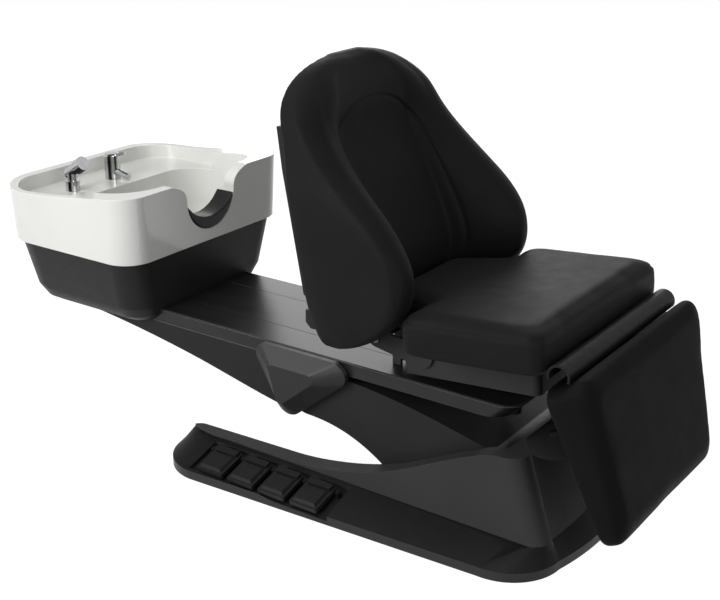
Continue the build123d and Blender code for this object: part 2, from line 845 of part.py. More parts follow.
def make_arm_frame():
    """Two plates from the lift pivot to the deck pivot, joined by the hub and two cross bars."""
    depth = arm_plate_depth / 2
    plate = strut_face(0, lift_z, deck_pivot_x, deck_pivot_z, depth, arm_end_radius)
    plate -= Pos(0, lift_z) * Circle(lift_pin_radius + pin_fit)
    plate -= Pos(deck_pivot_x, deck_pivot_z) * Circle(deck_pin_radius + pin_fit)
    frame = both_sides(side_slab(plate, arm_plate_half, arm_plate_half + arm_plate_thickness))
    tube_z = lift_z + (deck_pivot_z - lift_z) * ram_arm_x / deck_pivot_x
    frame += rod_y(ram_arm_x, tube_z, -arm_plate_half - cut, arm_plate_half + cut, lug_radius)
    lug = strut_face(ram_arm_x, ram_arm_z, ram_arm_x, tube_z, lug_radius, lug_radius)
    lug -= Pos(ram_arm_x, ram_arm_z) * Circle(ram_pin_radius + pin_fit)
    frame += both_sides(side_slab(lug, ram_lug_half, ram_lug_half + ram_lug_thickness))
    hub_half = upright_half - seat_gap
    hub = rod_y(0, lift_z, -hub_half, hub_half, arm_tube_radius)
    hub -= rod_y(0, lift_z, -arm_half, arm_half, lift_pin_radius + pin_fit)
    bar_x = (ram_arm_x + deck_pivot_x) / 2
    bar_z = lift_z + (deck_pivot_z - lift_z) * bar_x / deck_pivot_x
    bar = rod_y(bar_x, bar_z, -arm_plate_half, arm_plate_half, lug_radius)
    tabs = rod_y(bar_x, bar_z, arm_plate_half, arm_half - arm_wall, lug_radius)
    return frame + hub + bar + both_sides(tabs)


def make_ram_arm_pin():
    reach = ram_lug_half + ram_lug_thickness + cover_gap
    return rod_y(ram_arm_x, ram_arm_z, -reach, reach, ram_pin_radius)


def make_link():
    """Two bars that keep the deck level, joined by a cross bar."""
    depth = link_depth / 2
    bar = strut_face(0, link_base_z, deck_pivot_x, link_deck_z, depth, depth)
    bar -= Pos(0, link_base_z) * Circle(link_pin_radius + pin_fit)
    bar -= Pos(deck_pivot_x, link_deck_z) * Circle(link_pin_radius + ram_open_gap)
    bars = both_sides(side_slab(bar, link_half, link_half + link_thickness))
    cross_x = deck_pivot_x * link_cross_share
    cross_z = link_base_z + (link_deck_z - link_base_z) * link_cross_share
    return bars + rod_y(cross_x, cross_z, -link_half, link_half, link_pin_radius)


def ram_place():
    turn = degrees(atan2(ram_arm_z - ram_base_z, ram_arm_x - ram_base_x))
    return Pos(ram_base_x, 0, ram_base_z) * Rot(0, -turn, 0)


def ram_length():
    return hypot(ram_arm_x - ram_base_x, ram_arm_z - ram_base_z)


def make_ram_body():
    """Tube with an eye at its foot and a bore for the rod."""
    start = ram_eye_radius + cover_gap
    body = rod_x(0, 0, start, start + ram_body_length, ram_body_radius)
    body += rod_y(0, 0, -ram_eye_half, ram_eye_half, ram_eye_radius)
    body += box_between(0, start + cut, -ram_eye_half, ram_eye_half, -ram_eye_half, ram_eye_half)
    body -= rod_y(0, 0, -ram_eye_radius * 2, ram_eye_radius * 2, ram_pin_radius + pin_fit)
    body -= rod_x(0, 0, start + cut + ram_rod_radius, start + ram_body_length + cut, ram_bore_radius)
    return ram_place() * body


def make_ram_rod():
    length = ram_length()
    start = ram_eye_radius + cover_gap + ram_body_length - ram_overlap
    rod = rod_x(0, 0, start, length, ram_rod_radius)
    rod += rod_x(0, 0, start, start + ram_rod_radius, ram_bore_radius - pin_fit)
    rod += rod_y(length, 0, -ram_eye_half, ram_eye_half, ram_eye_radius)
    rod -= rod_y(length, 0, -ram_eye_radius * 2, ram_eye_radius * 2, ram_pin_radius + ram_open_gap)
    return ram_place() * rod


# Deck, beam and their frame
def deck_plan(front_x, inset):
    """Long plate with round front corners."""
    half = deck_half - inset
    front = front_x - inset
    rear = deck_rear_x + inset
    corner = deck_corner - inset
    edges = [
        Line((rear, -half), (front - corner, -half)),
        ThreePointArc((front - corner, -half), (front - corner * (1 - sqrt(0.5)), -half + corner * (1 - sqrt(0.5))),
                      (front, -half + corner)),
    ]
    joining = [Line((front, -half + corner), (front, half - corner)), Line((rear, -half), (rear, half))]
    return closed_outline(edges, joining)


def make_deck_tray():
    """Tray with an undercut front, a channel for the centre panel and holes for the pipes."""
    edge_z = deck_top - deck_edge
    tray = loft([Pos(0, 0, deck_low) * deck_plan(deck_front_x - deck_front_lean, 0),
                 Pos(0, 0, edge_z) * deck_plan(deck_front_x, 0)], ruled=True)
    tray += loft([Pos(0, 0, edge_z) * deck_plan(deck_front_x, 0),
                  Pos(0, 0, deck_top) * deck_plan(deck_front_x, deck_edge)], ruled=True)
    seam = panel_half + panel_seam
    tray -= box_between(panel_rear_x - panel_seam, panel_front_x + panel_seam, -seam, seam,
                        deck_top - panel_thickness - seat_gap, deck_top + cut)
    inner = deck_half - deck_wall
    tray -= box_between(deck_rear_x + deck_wall, deck_front_x - deck_front_lean - deck_corner, -inner, inner,
                        deck_low - cut, deck_top - panel_thickness - deck_wall)
    tray -= rod_z(drain_x, 0, deck_low - cut, deck_top + cut, outlet_radius + run_gap)
    tray -= rod_z(jack_x, 0, deck_low - cut, deck_top + cut, jack_radius + seat_gap)
    return tray


def make_deck_panel():
    panel = box_between(panel_rear_x, panel_front_x, -panel_half, panel_half,
                        deck_top - panel_thickness, deck_top)
    return panel - rod_z(jack_x, 0, deck_low, deck_top + cut, jack_radius + seat_gap)


def beam_face(inset):
    """Side view of the wedge under the deck, shallow at the rear and deep at the arm."""
    high = deck_low - seat_gap
    knuckle = knuckle_radius + knuckle_gap + inset
    points = [
        (beam_rear_x + inset, high - beam_rear_depth + inset / 2),
        (beam_mid_x, high - beam_mid_depth + inset),
        (beam_low_x, high - beam_low_depth + inset),
        (beam_end_x, high - beam_end_depth + inset),
        (deck_pivot_x, deck_pivot_z - knuckle_radius + inset),
    ]
    curve = Spline(*points)
    lines = Polyline(points[-1], (deck_pivot_x, high), (beam_rear_x + inset, high), points[0])
    pivot = Pos(deck_pivot_x, deck_pivot_z)
    raised_arm = pivot * Rot(0, 0, -lift_travel) * Pos(-deck_pivot_x, -deck_pivot_z) * arm_face(-knuckle_gap - inset)
    return make_face([curve, lines]) - pivot * Circle(knuckle) - raised_arm


def keep_rear(shape):
    """Largest solid of the shape, which drops the sliver in front of the knuckle."""
    return max(shape.solids(), key=lambda solid: solid.volume)


def make_beam_cover():
    inner = beam_half - beam_wall
    beam = side_slab(beam_face(0), -beam_half, beam_half)
    beam = keep_rear(beam)
    hollow = side_slab(beam_face(beam_wall), -inner, inner)
    hollow += Pos(0, 0, beam_wall) * hollow
    half = deck_frame_half + seat_gap
    low = deck_low - seat_gap - deck_frame_thickness - seat_gap
    plate = box_between(deck_frame_rear_x - seat_gap, deck_frame_front_x, -half, half, low, deck_low)
    return beam - hollow - plate


def make_deck_frame():
    """Plate and rails under the deck, with lugs for the lift arm and the levelling link."""
    high = deck_low - seat_gap
    low = high - deck_frame_thickness
    frame = box_between(deck_frame_rear_x, deck_frame_front_x, -deck_frame_half, deck_frame_half, low, high)
    rail = box_between(rail_rear_x, deck_frame_rear_x + cut, rail_inner, rail_inner + rail_width,
                       high - rail_depth, high)
    frame += both_sides(rail)
    outer = strut_face(deck_pivot_x, deck_pivot_z, deck_pivot_x, low, arm_end_radius, arm_end_radius)
    outer -= Pos(deck_pivot_x, low + deck_lug_reach) * Rectangle(deck_lug_reach * 3, deck_lug_reach * 2)
    outer -= Pos(deck_pivot_x, deck_pivot_z) * Circle(deck_pin_radius + pin_fit)
    inner = strut_face(deck_pivot_x, link_deck_z, deck_pivot_x, low, lug_radius, arm_end_radius)
    inner += Pos(deck_pivot_x, deck_pivot_z) * Circle(arm_end_radius)
    inner -= Pos(deck_pivot_x, low + deck_lug_reach) * Rectangle(deck_lug_reach * 3, deck_lug_reach * 2)
    inner -= Pos(deck_pivot_x, deck_pivot_z) * Circle(deck_pin_radius + pin_fit)
    inner -= Pos(deck_pivot_x, link_deck_z) * Circle(link_pin_radius + pin_fit)
    frame -= rod_z(jack_x, 0, low - cut, high + cut, jack_radius + seat_gap)
    frame += both_sides(side_slab(outer, deck_lug_half, deck_lug_half + deck_lug_thickness))
    frame += both_sides(side_slab(inner, lug_half, lug_half + lug_thickness))
    return frame


def make_deck_pins():
    reach = deck_lug_half + deck_lug_thickness + cover_gap * 4
    link_reach = link_half + link_thickness + cover_gap * 2
    pins = [
        rod_y(deck_pivot_x, deck_pivot_z, -reach, reach, deck_pin_radius),
        rod_y(deck_pivot_x, link_deck_z, -link_reach, link_reach, link_pin_radius),
    ]
    return Compound(children=pins)


def make_pivot_cover():
    """Triangular bevelled cover over the near upper pivot."""
    outline = (
        (cover_left_x, cover_left_z),
        (cover_left_x + cover_left_chamfer, cover_top_z),
        (cover_right_x - cover_right_chamfer, cover_top_z),
        (cover_right_x, cover_right_z),
        (cover_tip_x, cover_tip_z),
    )
    face_top = cover_top_z - cover_face_inset_z
    inner = (
        (cover_left_x + cover_face_inset_x, face_top),
        (cover_right_x - cover_face_inset_x, face_top),
        (cover_tip_x, cover_tip_z + cover_face_inset_z * cover_face_tip_share),
    )
    rounds = [cover_side_round, cover_corner_round, cover_side_round, cover_side_round, cover_tip_round]
    base = make_face(FilletPolyline(*outline, radius=rounds, close=True))
    y = -deck_half - cover_standoff
    body = side_slab(base, y - cover_base, y)
    top = make_face(FilletPolyline(*inner, radius=cover_face_round, close=True))
    slope_low = Plane(origin=(0, y - cover_base, 0), x_dir=(1, 0, 0), z_dir=(0, -1, 0)) * base
    slope_high = Plane(origin=(0, y - cover_height, 0), x_dir=(1, 0, 0), z_dir=(0, -1, 0)) * top
    body += loft([slope_low, slope_high], ruled=True)
    foot_x = (cover_left_x + cover_right_x) / 2
    foot = box_between(foot_x - cover_foot_half, foot_x + cover_foot_half, y - cut, -deck_half - seat_gap,
                       deck_low + deck_edge, cover_left_z)
    return body + foot


# Seat
def on_seat(shape):
    return seat_place * shape


def seat_plan(inset, half_inset):
    """Outline of the seat cushion: a wide front and a narrow tongue between the wings."""
    front = cushion_front - inset
    rear = cushion_rear + inset
    tongue = cushion_tongue_rear + inset
    half = cushion_half - half_inset
    tongue_half = cushion_tongue_half - half_inset
    throat_half = cushion_throat_half - half_inset
    points = ((front, -half), (front, half), (rear, half), (rear, throat_half), (tongue, tongue_half),
              (tongue, -tongue_half), (rear, -throat_half), (rear, -half))
    return rounded_face(points, cushion_corner)


def make_seat_frame():
    """Pressed box under the seat, with arms that reach back to the tilt hinge."""
    box = box_between(box_rear, box_front, -box_half, box_half, box_bottom, box_top)
    box = fillet(box.edges().filter_by(Axis.Z), box_corner)
    inner = box_half - box_wall
    hollow = box_between(box_rear + box_wall, box_front - box_wall, -inner, inner, box_bottom + box_wall, box_top + cut)
    hollow = fillet(hollow.edges().filter_by(Axis.Z), box_corner - box_wall)
    box -= hollow
    arm = strut_face(0, 0, box_rear + cut, 0, tilt_arm_depth, tilt_arm_depth) - Circle(tilt_pin_radius + pin_fit)
    keep = Pos(box_rear, 0) * Rectangle(box_rear * 4, box_rear * 4, align=(Align.MAX, Align.CENTER))
    arms = both_sides(side_slab(arm & keep, tilt_arm_half, tilt_arm_half + tilt_arm_thickness))
    return on_seat(box + arms)


def make_tilt_pivot():
    """Lugs on the deck that carry the pin of the tilt hinge."""
    half = tilt_arm_half + tilt_arm_thickness + cover_gap
    lug = Pos(tilt_x, tilt_z) * Circle(tilt_arm_depth)
    base = deck_top + seat_gap
    foot = Pos(tilt_x, base) * Rectangle(tilt_arm_depth * 2, tilt_z - base, align=(Align.CENTER, Align.MIN))
    plate = lug + foot - Pos(tilt_x, deck_top + seat_gap) * Rectangle(tilt_arm_depth * 4, tilt_arm_depth * 2,
                                                                    align=(Align.CENTER, Align.MAX))
    plate -= Pos(tilt_x, tilt_z) * Circle(tilt_pin_radius)
    lugs = both_sides(side_slab(plate, half, half + tilt_arm_thickness))
    reach = half + tilt_arm_thickness
    return lugs + rod_y(tilt_x, tilt_z, -reach, reach, tilt_pin_radius)


def make_seat_board():
    plan = seat_plan(board_inset, board_inset)
    return on_seat(Pos(0, 0, board_low) * extrude(plan, board_thickness, dir=(0, 0, 1)))


def make_seat_cushion():
    """Upholstered cushion, crowned, with rounded edges and a pocket for its board."""
    sections = []
    for level, inset in zip(cushion_level_shares, cushion_inset_shares):
        height = cushion_low + level * cushion_thickness
        drawn = inset * cushion_edge
        sections.append(Pos(0, 0, height) * seat_plan(drawn, drawn))
    drawn = crown_inset_share * cushion_edge
    crown_z = cushion_low + cushion_thickness + cushion_crown
    sections.append(Pos(0, 0, crown_z) * seat_plan(drawn, drawn))
    pocket_inset = board_inset - seat_gap
    pocket = extrude(seat_plan(pocket_inset, pocket_inset), board_high + seat_gap, dir=(0, 0, 1))
    return on_seat(loft(sections, ruled=True) - pocket)


def bracket_face():
    """Plate from the seat's box back to the recline hinge."""
    rear = recline_eye_radius
    shape = strut_face(recline_local_x, recline_local_z, bracket_front, recline_local_z - bracket_depth / 2,
                       rear, bracket_depth / 2)
    return shape - Pos(recline_local_x, recline_local_z) * Circle(shaft_radius + pin_fit)


def make_seat_brackets():
    inner = box_half + seat_gap
    return on_seat(both_sides(side_slab(bracket_face(), inner, inner + bracket_thickness)))


def leg_bracket_face():
    """Plate under the seat board that carries the leg rest's shaft."""
    half = leg_bracket_depth / 2
    shape = strut_face(leg_bracket_rear, board_low - seat_gap - half, leg_local_x, leg_local_z, half, leg_eye_radius)
    return shape & (Pos(0, board_low - seat_gap) * Rectangle(leg_local_x * 4, leg_local_x * 4,
                                                        align=(Align.CENTER, Align.MAX))
                    + Pos(leg_local_x, leg_local_z) * Circle(strip_radius))


def make_leg_brackets():
    face = leg_bracket_face() - Pos(leg_local_x, leg_local_z) * Circle(leg_shaft_radius + pin_fit)
    tail = box_between(box_front + seat_gap, box_front + seat_gap + bracket_thickness,
                       -leg_bracket_half, leg_bracket_half, box_top - leg_bracket_depth, box_top)
    plates = both_sides(side_slab(face & front_of_box(), leg_bracket_half, leg_bracket_half + bracket_thickness))
    return on_seat(plates + tail)


def front_of_box():
    """Area in front of the seat's box, seen from the side."""
    start = box_front + seat_gap
    return Pos(start, leg_local_z) * Rectangle(leg_local_x, leg_local_x, align=(Align.MIN, Align.CENTER))


def make_recline_drive():
    """Geared motor round the back's shaft, held on the seat's box."""
    drive = rod_y(recline_local_x, recline_local_z, -drive_half, drive_half, drive_radius)
    half = drive_block / 2
    front = box_rear - seat_gap
    drive += box_between(recline_local_x, front, -drive_block, drive_block,
                         recline_local_z - half, recline_local_z + half)
    drive -= rod_y(recline_local_x, recline_local_z, -box_half, box_half, shaft_radius + pin_fit)
    return on_seat(drive)


def make_legrest_drive():
    """Geared motor round the leg rest's shaft, held under the seat board."""
    drive = rod_y(leg_local_x, leg_local_z, -leg_drive_half, leg_drive_half, leg_drive_radius)
    rear = box_front + seat_gap * 2 + bracket_thickness
    low = box_top - leg_drive_radius
    drive += box_between(rear, leg_local_x - leg_drive_radius / 2, -leg_drive_half / 2, leg_drive_half / 2,
                         low, box_top)
    drive -= rod_y(leg_local_x, leg_local_z, -box_half, box_half, leg_shaft_radius + pin_fit)
    return on_seat(drive)


def make_gap_cover():
    """Strip bent round the leg rest's shaft, between seat and leg rest."""
    ring = Circle(strip_radius) - Circle(strip_radius - strip_wall)
    reach = strip_radius * 3
    low = radians(strip_open_turn - strip_open_half)
    high = radians(strip_open_turn + strip_open_half)
    corners = [(reach * cos(turn), reach * sin(turn)) for turn in (low, (low + high) / 2, high)]
    wedge = Polygon((0, 0), *corners, align=None)
    strip = Pos(leg_local_x, leg_local_z) * (ring - wedge)
    half = leg_bracket_half
    cover = side_slab(strip, -strip_half, strip_half)
    slot = offset(leg_bracket_face(), seat_gap)
    cover -= both_sides(side_slab(slot, half - seat_gap, half + bracket_thickness + seat_gap))
    rear = box_front + seat_gap * 2 + bracket_thickness
    cover -= box_between(rear, leg_local_x, -leg_drive_half / 2 - seat_gap, leg_drive_half / 2 + seat_gap,
                         box_bottom, leg_local_z)
    return on_seat(cover)


# Back
def back_section(index):
    """Plan of the back at one height: hollow in front, with a wing on each side."""
    half = back_half * back_half_shares[index]
    rear = recline_axis.X + back_depth * back_rear_shares[index]
    outer = recline_axis.X + back_depth * back_outer_shares[index]
    crest = recline_axis.X + back_depth * back_crest_shares[index]
    floor = recline_axis.X + back_depth * back_floor_shares[index]
    level = recline_axis.Z + back_height * back_level_shares[index]
    turn = min(back_side_round, (outer - rear) / 2, half / 4)
    rear_end = (rear, -half + turn)
    side_end = (rear + turn, -half)
    corner = turn * (1 - sqrt(0.5))
    outer_end = (outer, -half)
    crest_end = (crest, -half * crest_half_share)
    floor_end = (floor, -half * floor_half_share)
    width = half * (1 - crest_half_share)
    edges = [
        ThreePointArc(rear_end, (rear + corner, -half + corner), side_end),
        Line(side_end, outer_end),
        arc(outer_end, crest_end, -width * wing_bulge_share),
        arc(crest_end, floor_end, -width * flank_bulge_share),
    ]
    floor_mid = (floor - width * floor_bulge_share, 0)
    joining = [ThreePointArc(floor_end, floor_mid, (floor, half * floor_half_share)),
               Line(rear_end, (rear, half - turn))]
    return Pos(0, 0, level) * closed_outline(edges, joining)


def shell_face(inset, low):
    """Side view of the shell behind the back."""
    points = [
        (-shell_low_back + inset, low),
        (-shell_mid_back + inset, shell_mid),
        (-shell_high_back + inset, shell_high - inset),
    ]
    front = [(x + shell_thickness - inset * 2, z) for x, z in reversed(points)]
    return Pos(recline_axis.X, recline_axis.Z) * Polygon(*points, *front, align=None)


def frame_arm_face(grow):
    """Side view of one arm of the back's frame, from the hinge up inside the shell."""
    depth = frame_arm_depth / 2
    lean = shell_thickness / 2
    slope = (shell_mid_back - shell_low_back) / (shell_mid - shell_low)
    foot = (-shell_low_back + lean + frame_arm_depth * slope, shell_low - frame_arm_depth)
    mid = (-shell_mid_back + lean, shell_mid)
    top = (-shell_high_back + lean, shell_high - depth * 2)
    wide = depth + grow
    slim = frame_slim + grow
    shape = strut_face(0, 0, foot[0], foot[1], wide, slim)
    shape += strut_face(foot[0], foot[1], mid[0], mid[1], slim, slim)
    shape += strut_face(mid[0], mid[1], top[0], top[1], slim, slim)
    return Pos(recline_axis.X, recline_axis.Z) * shape


def make_back_frame():
    centre = Pos(recline_axis.X, recline_axis.Z)
    arm = frame_arm_face(0) + centre * Circle(recline_eye_radius) - centre * Circle(shaft_radius)
    frame = both_sides(side_slab(arm, frame_arm_half, frame_arm_half + frame_arm_thickness))
    lean = shell_thickness / 2
    for x, z in ((-shell_low_back + lean, shell_low + frame_arm_depth), (-shell_mid_back + lean, shell_mid)):
        frame += rod_y(recline_axis.X + x, recline_axis.Z + z, -frame_arm_half, frame_arm_half, frame_bar_radius)
    return frame


def make_back_shaft():
    reach = box_half + seat_gap + bracket_thickness + cover_gap * 4
    return rod_y(recline_axis.X, recline_axis.Z, -reach, reach, shaft_radius)


def make_back_shell():
    """Moulded shell behind the back, hollow and open at its foot."""
    shell = side_slab(shell_face(0, shell_low), -shell_half, shell_half)
    inner = shell_half - shell_wall
    return shell - side_slab(shell_face(shell_wall, shell_low - cut), -inner, inner)


def make_back_cushion():
    """Upholstered back with a hollow between two wings, cut out at its foot for the hinge."""
    pad = loft([back_section(index) for index in range(len(back_level_shares))])
    notch_top = recline_axis.Z + notch_height
    pad -= box_between(tilt_x - box_front, tilt_x + box_front, -notch_half, notch_half, 0, notch_top)
    grown = shell_half + seat_gap
    space = side_slab(offset(shell_face(0, shell_low), seat_gap), -grown, grown)
    space += Pos(-shell_thickness, 0, 0) * space
    pad -= space
    inner = frame_arm_half - seat_gap
    outer = frame_arm_half + frame_arm_thickness + seat_gap
    slot = side_slab(frame_arm_face(seat_gap), inner, outer)
    low = recline_axis.Z + hinge_cover_low - seat_gap
    high = recline_axis.Z + hinge_cover_high + seat_gap
    rear = recline_axis.X - hinge_cover_rear
    inner = hinge_cover_half - seat_gap
    cap = box_between(rear - cut, rear + hinge_cover_depth + seat_gap, -inner - hinge_cover_width - seat_gap * 2,
                      -inner, low, high)
    return pad - both_sides(slot) - both_sides(cap)


def make_hinge_cover():
    """Small cap on the lower rear of one wing."""
    low = recline_axis.Z + hinge_cover_low
    high = recline_axis.Z + hinge_cover_high
    rear = recline_axis.X - hinge_cover_rear
    face = Polygon((rear, low + hinge_cover_depth / 2), (rear, high), (rear + hinge_cover_depth, high),
                   (rear + hinge_cover_depth, low), (rear + hinge_cover_depth / 2, low), align=None)
    return side_slab(face, -hinge_cover_half - hinge_cover_width, -hinge_cover_half)


# Leg rest
def on_leg(shape):
    """Frame of the leg rest: X down along it from the hinge, Z out of its face."""
    return leg_place * shape


def leg_plan(inset):
    """Face view of the leg rest, narrower at its foot."""
    top = leg_top + inset
    low = leg_length - inset
    half = leg_half - inset
    half_low = leg_half_low - inset
    points = ((top, -half), (low, -half_low), (low, half_low), (top, half))
    return rounded_face(points, leg_corner)


def leg_section(share, inset, rise):
    """Plan at one share of the thickness, between the flat back and the tapering face."""
    top = leg_back + share * (leg_front - leg_back)
    low = leg_back + share * (leg_front_low - leg_back)
    slope = degrees(atan2(top - low, leg_length))
    return Pos(0, 0, top + rise) * Rot(0, slope, 0) * leg_plan(inset)


def make_legrest_cushion():
    """Upholstered wedge, hollowed at its top round the cover strip."""
    sections = []
    for level, inset in zip(cushion_level_shares, cushion_inset_shares):
        sections.append(leg_section(level, inset * leg_edge, 0))
    sections.append(leg_section(1, leg_edge * crown_inset_share, leg_crown))
    cushion = on_leg(loft(sections, ruled=True))
    scoop = rod_y(leg_axis.X, leg_axis.Z, -leg_half - cut, leg_half + cut, leg_scoop)
    inner = leg_arm_half - seat_gap
    outer = leg_arm_half + leg_arm_thickness + seat_gap
    slots = both_sides(Pos(leg_axis.X, 0, leg_axis.Z) * leg_turn * side_slab(leg_arm_face(seat_gap), inner, outer))
    return cushion - scoop - slots


def leg_arm_face(grow):
    """Side view of one arm, with X down along the leg rest and Y out of its face."""
    depth = leg_arm_depth / 2 - leg_arm_thickness / 2
    back = leg_back - seat_gap - leg_board - seat_gap - depth
    knee = -back * leg_knee_share
    shape = strut_face(0, 0, knee, back, depth + grow, depth + grow)
    return shape + strut_face(knee, back, leg_arm_length, back, depth + grow, depth + grow)


leg_turn = Rot(0, 90 - leg_lean, 0)


def make_legrest_frame():
    arm = leg_arm_face(0) - Circle(leg_shaft_radius)
    arms = both_sides(side_slab(arm, leg_arm_half, leg_arm_half + leg_arm_thickness))
    back = leg_back - seat_gap - leg_board - seat_gap
    depth = leg_arm_depth / 2 - leg_arm_thickness / 2
    for share in leg_bar_shares:
        arms += rod_y(leg_arm_length * share, back - depth, -leg_arm_half, leg_arm_half, depth - cover_gap)
    return Pos(leg_axis.X, 0, leg_axis.Z) * leg_turn * arms


def make_leg_shaft():
    reach = leg_bracket_half + bracket_thickness + cover_gap * 4
    return rod_y(leg_axis.X, leg_axis.Z, -reach, reach, leg_shaft_radius)


def make_legrest_board():
    low = leg_back - seat_gap - leg_board
    half = leg_half_low - leg_board_inset
    board = on_leg(box_between(leg_board_top, leg_board_low, -half, half, low, low + leg_board))
    inner = leg_arm_half - seat_gap
    outer = leg_arm_half + leg_arm_thickness + seat_gap
    slots = both_sides(Pos(leg_axis.X, 0, leg_axis.Z) * leg_turn * side_slab(leg_arm_face(seat_gap), inner, outer))
    return board - slots


# Tilt jack
def jack_top():
    """Height of the seat box's underside over the jack."""
    slope = radians(seat_tilt)
    underside = tilt_z + (jack_x - tilt_x) * tan(slope) + box_bottom / cos(slope)
    return underside - jack_rod_radius * sin(slope) - seat_gap


def make_jack_housing():
    low = deck_low - jack_depth
    housing = rod_z(jack_x, 0, low, deck_top, jack_radius)
    flange_top = deck_low - seat_gap * 2 - deck_frame_thickness
    housing += rod_z(jack_x, 0, flange_top - jack_flange, flange_top, jack_flange_radius)
    return housing - rod_z(jack_x, 0, low + jack_flange, deck_top + cut, jack_rod_radius + pin_fit)


def make_jack_plunger():
    top = jack_top()
    return rod_z(jack_x, 0, top - jack_rod_length, top, jack_rod_radius)


# Basin
def basin_plan(inset, front_round, rear_round):
    """Plan of the basin, rounder at the rear than at the front."""
    return rounded_plan(basin_rear_x + inset, basin_front_x - inset, basin_half - inset, front_round, rear_round)


def rounded_plan(rear, front, half, front_round, rear_round):
    """Plan with one round for its two front corners and one for its rear ones."""
    slant = 1 - sqrt(0.5)
    edges = [
        ThreePointArc((front, -half + front_round),
                      (front - front_round * slant, -half + front_round * slant),
                      (front - front_round, -half)),
        Line((front - front_round, -half), (rear + rear_round, -half)),
        ThreePointArc((rear + rear_round, -half),
                      (rear + rear_round * slant, -half + rear_round * slant),
                      (rear, -half + rear_round)),
    ]
    joining = [
        Line((front, -half + front_round), (front, half - front_round)),
        Line((rear, -half + rear_round), (rear, half - rear_round)),
    ]
    return closed_outline(edges, joining)


def rim_profile():
    """Side view of the basin's band, with a rim that rises to the front."""
    reach = basin_front_x + cut
    curve = Spline(
        (basin_rear_x - cut, basin_rear_rim),
        (basin_mid_x, basin_mid_rim),
        (basin_high_x, basin_high_rim),
        (reach, basin_front_rim),
    )
    lines = Polyline((reach, basin_front_rim), (reach, basin_low), (basin_rear_x - cut, basin_low),
                     (basin_rear_x - cut, basin_rear_rim))
    return make_face([curve, lines])


def bowl_plan(inset):
    front = bowl_front_x - inset
    rear = ledge_front_x + inset
    half = bowl_half - inset
    points = ((front, -half), (front, half), (rear, half), (rear, -half))
    return rounded_face(points, bowl_round - inset)


def bowl_solid(grow, top):
    """Bowl from its floor to the given height, larger by grow."""
    sections = []
    for level, slope in zip(bowl_level_shares, bowl_slope_shares):
        height = bowl_bottom + level * (ledge_z - bowl_bottom)
        sections.append(Pos(0, 0, height - grow) * bowl_plan(slope * bowl_slope - grow))
    sections.append(Pos(0, 0, top) * bowl_plan(-grow))
    return loft(sections, ruled=True)


def notch_face(inset):
    """Front view of the neck rest's opening: a round bottom with flared shoulders."""
    radius = neck_radius - inset
    centre = neck_depth_z + neck_radius
    flare = neck_half - inset
    top = max(centre + neck_shoulder_rise, basin_front_rim) + cut
    near = Spline((-radius, centre), (-flare, top), tangents=[(0, 1), (-1, neck_shoulder_slope)])
    far = Spline((radius, centre), (flare, top), tangents=[(0, 1), (1, neck_shoulder_slope)])
    bottom = ThreePointArc((-radius, centre), (0, centre - radius), (radius, centre))
    return make_face([near, far, bottom, Line((-flare, top), (flare, top))])


def front_slab(face, x0, x1):
    """Face drawn with Y and Z, thickened from x0 to x1."""
    return Pos(x0, 0, 0) * extrude(Plane.YZ * face, x1 - x0, dir=(1, 0, 0))


def notch_space(grow):
    """Space through the front of the basin for the neck."""
    return front_slab(notch_face(-grow), bowl_front_x - bowl_round, basin_front_x + cut)


def make_basin():
    """Glazed basin: a band with a rear ledge, a bowl, a drain hole and a notch for the neck."""
    top = basin_front_rim + cut
    low_plan = basin_plan(basin_draft, basin_front_round, basin_rear_round)
    high_plan = basin_plan(0, basin_front_round, basin_rear_round)
    band = loft([Pos(0, 0, basin_low) * low_plan, Pos(0, 0, top) * high_plan], ruled=True)
    band &= side_slab(rim_profile(), -basin_half - cut, basin_half + cut)
    ledge_round = basin_rear_round - basin_wall
    ledge = basin_plan(basin_wall, basin_front_round - basin_wall, ledge_round)
    ledge = Pos(0, 0, ledge_z) * extrude(ledge, top - ledge_z, dir=(0, 0, 1))
    behind = box_between(basin_rear_x, ledge_front_x + bowl_round, -basin_half, basin_half, ledge_z, top)
    basin = band + bowl_solid(basin_floor_wall, basin_low + cut)
    basin -= bowl_solid(0, top)
    basin -= ledge & behind
    basin -= notch_space(0)
    basin -= rod_z(drain_x, 0, bowl_bottom - basin_floor_wall - cut, bowl_bottom + cut, drain_pipe_radius + seat_gap)
    for x, y in ((mixer_x, mixer_y), (holder_x, holder_y)):
        basin -= rod_z(x, y, basin_low - cut, ledge_z + cut, spout_radius + seat_gap)
    return basin


def make_neck_pad():
    """Soft crescent in the notch of the basin, thick in the middle, with two thin tips."""
    middle = neck_depth_z + neck_pad_thickness
    hollow_radius = (neck_radius ** 2 + neck_pad_sag ** 2) / neck_pad_sag / 2
    hollow = Pos(0, middle + hollow_radius) * Circle(hollow_radius)
    keep = Rectangle(basin_half, middle + neck_pad_sag, align=(Align.CENTER, Align.MIN))
    front = basin_front_x - neck_pad_inset
    return front_slab((notch_face(seat_gap) & keep) - hollow, front - neck_pad_depth, front)


def housing_solid(inset):
    """Housing's outline from the deck up to the basin, smaller by the inset."""
    high = basin_low - seat_gap
    reach = housing_inset + basin_draft
    sections = []
    for level, share in zip(housing_level_shares, housing_reach_shares):
        rear = housing_rear_x + share * (basin_rear_x + reach - housing_rear_x) + inset
        front = housing_front_x + share * (basin_front_x - reach - housing_front_x) - inset
        half = housing_low_half + share * (basin_half - reach - housing_low_half) - inset
        front_round = housing_round + share * (basin_front_round - housing_round)
        rear_round = housing_round + share * (basin_rear_round - housing_round)
        plan = rounded_plan(rear, front, half, front_round, rear_round)
        sections.append(Pos(0, 0, housing_low + level * (high - housing_low)) * plan)
    return loft(sections, ruled=True)


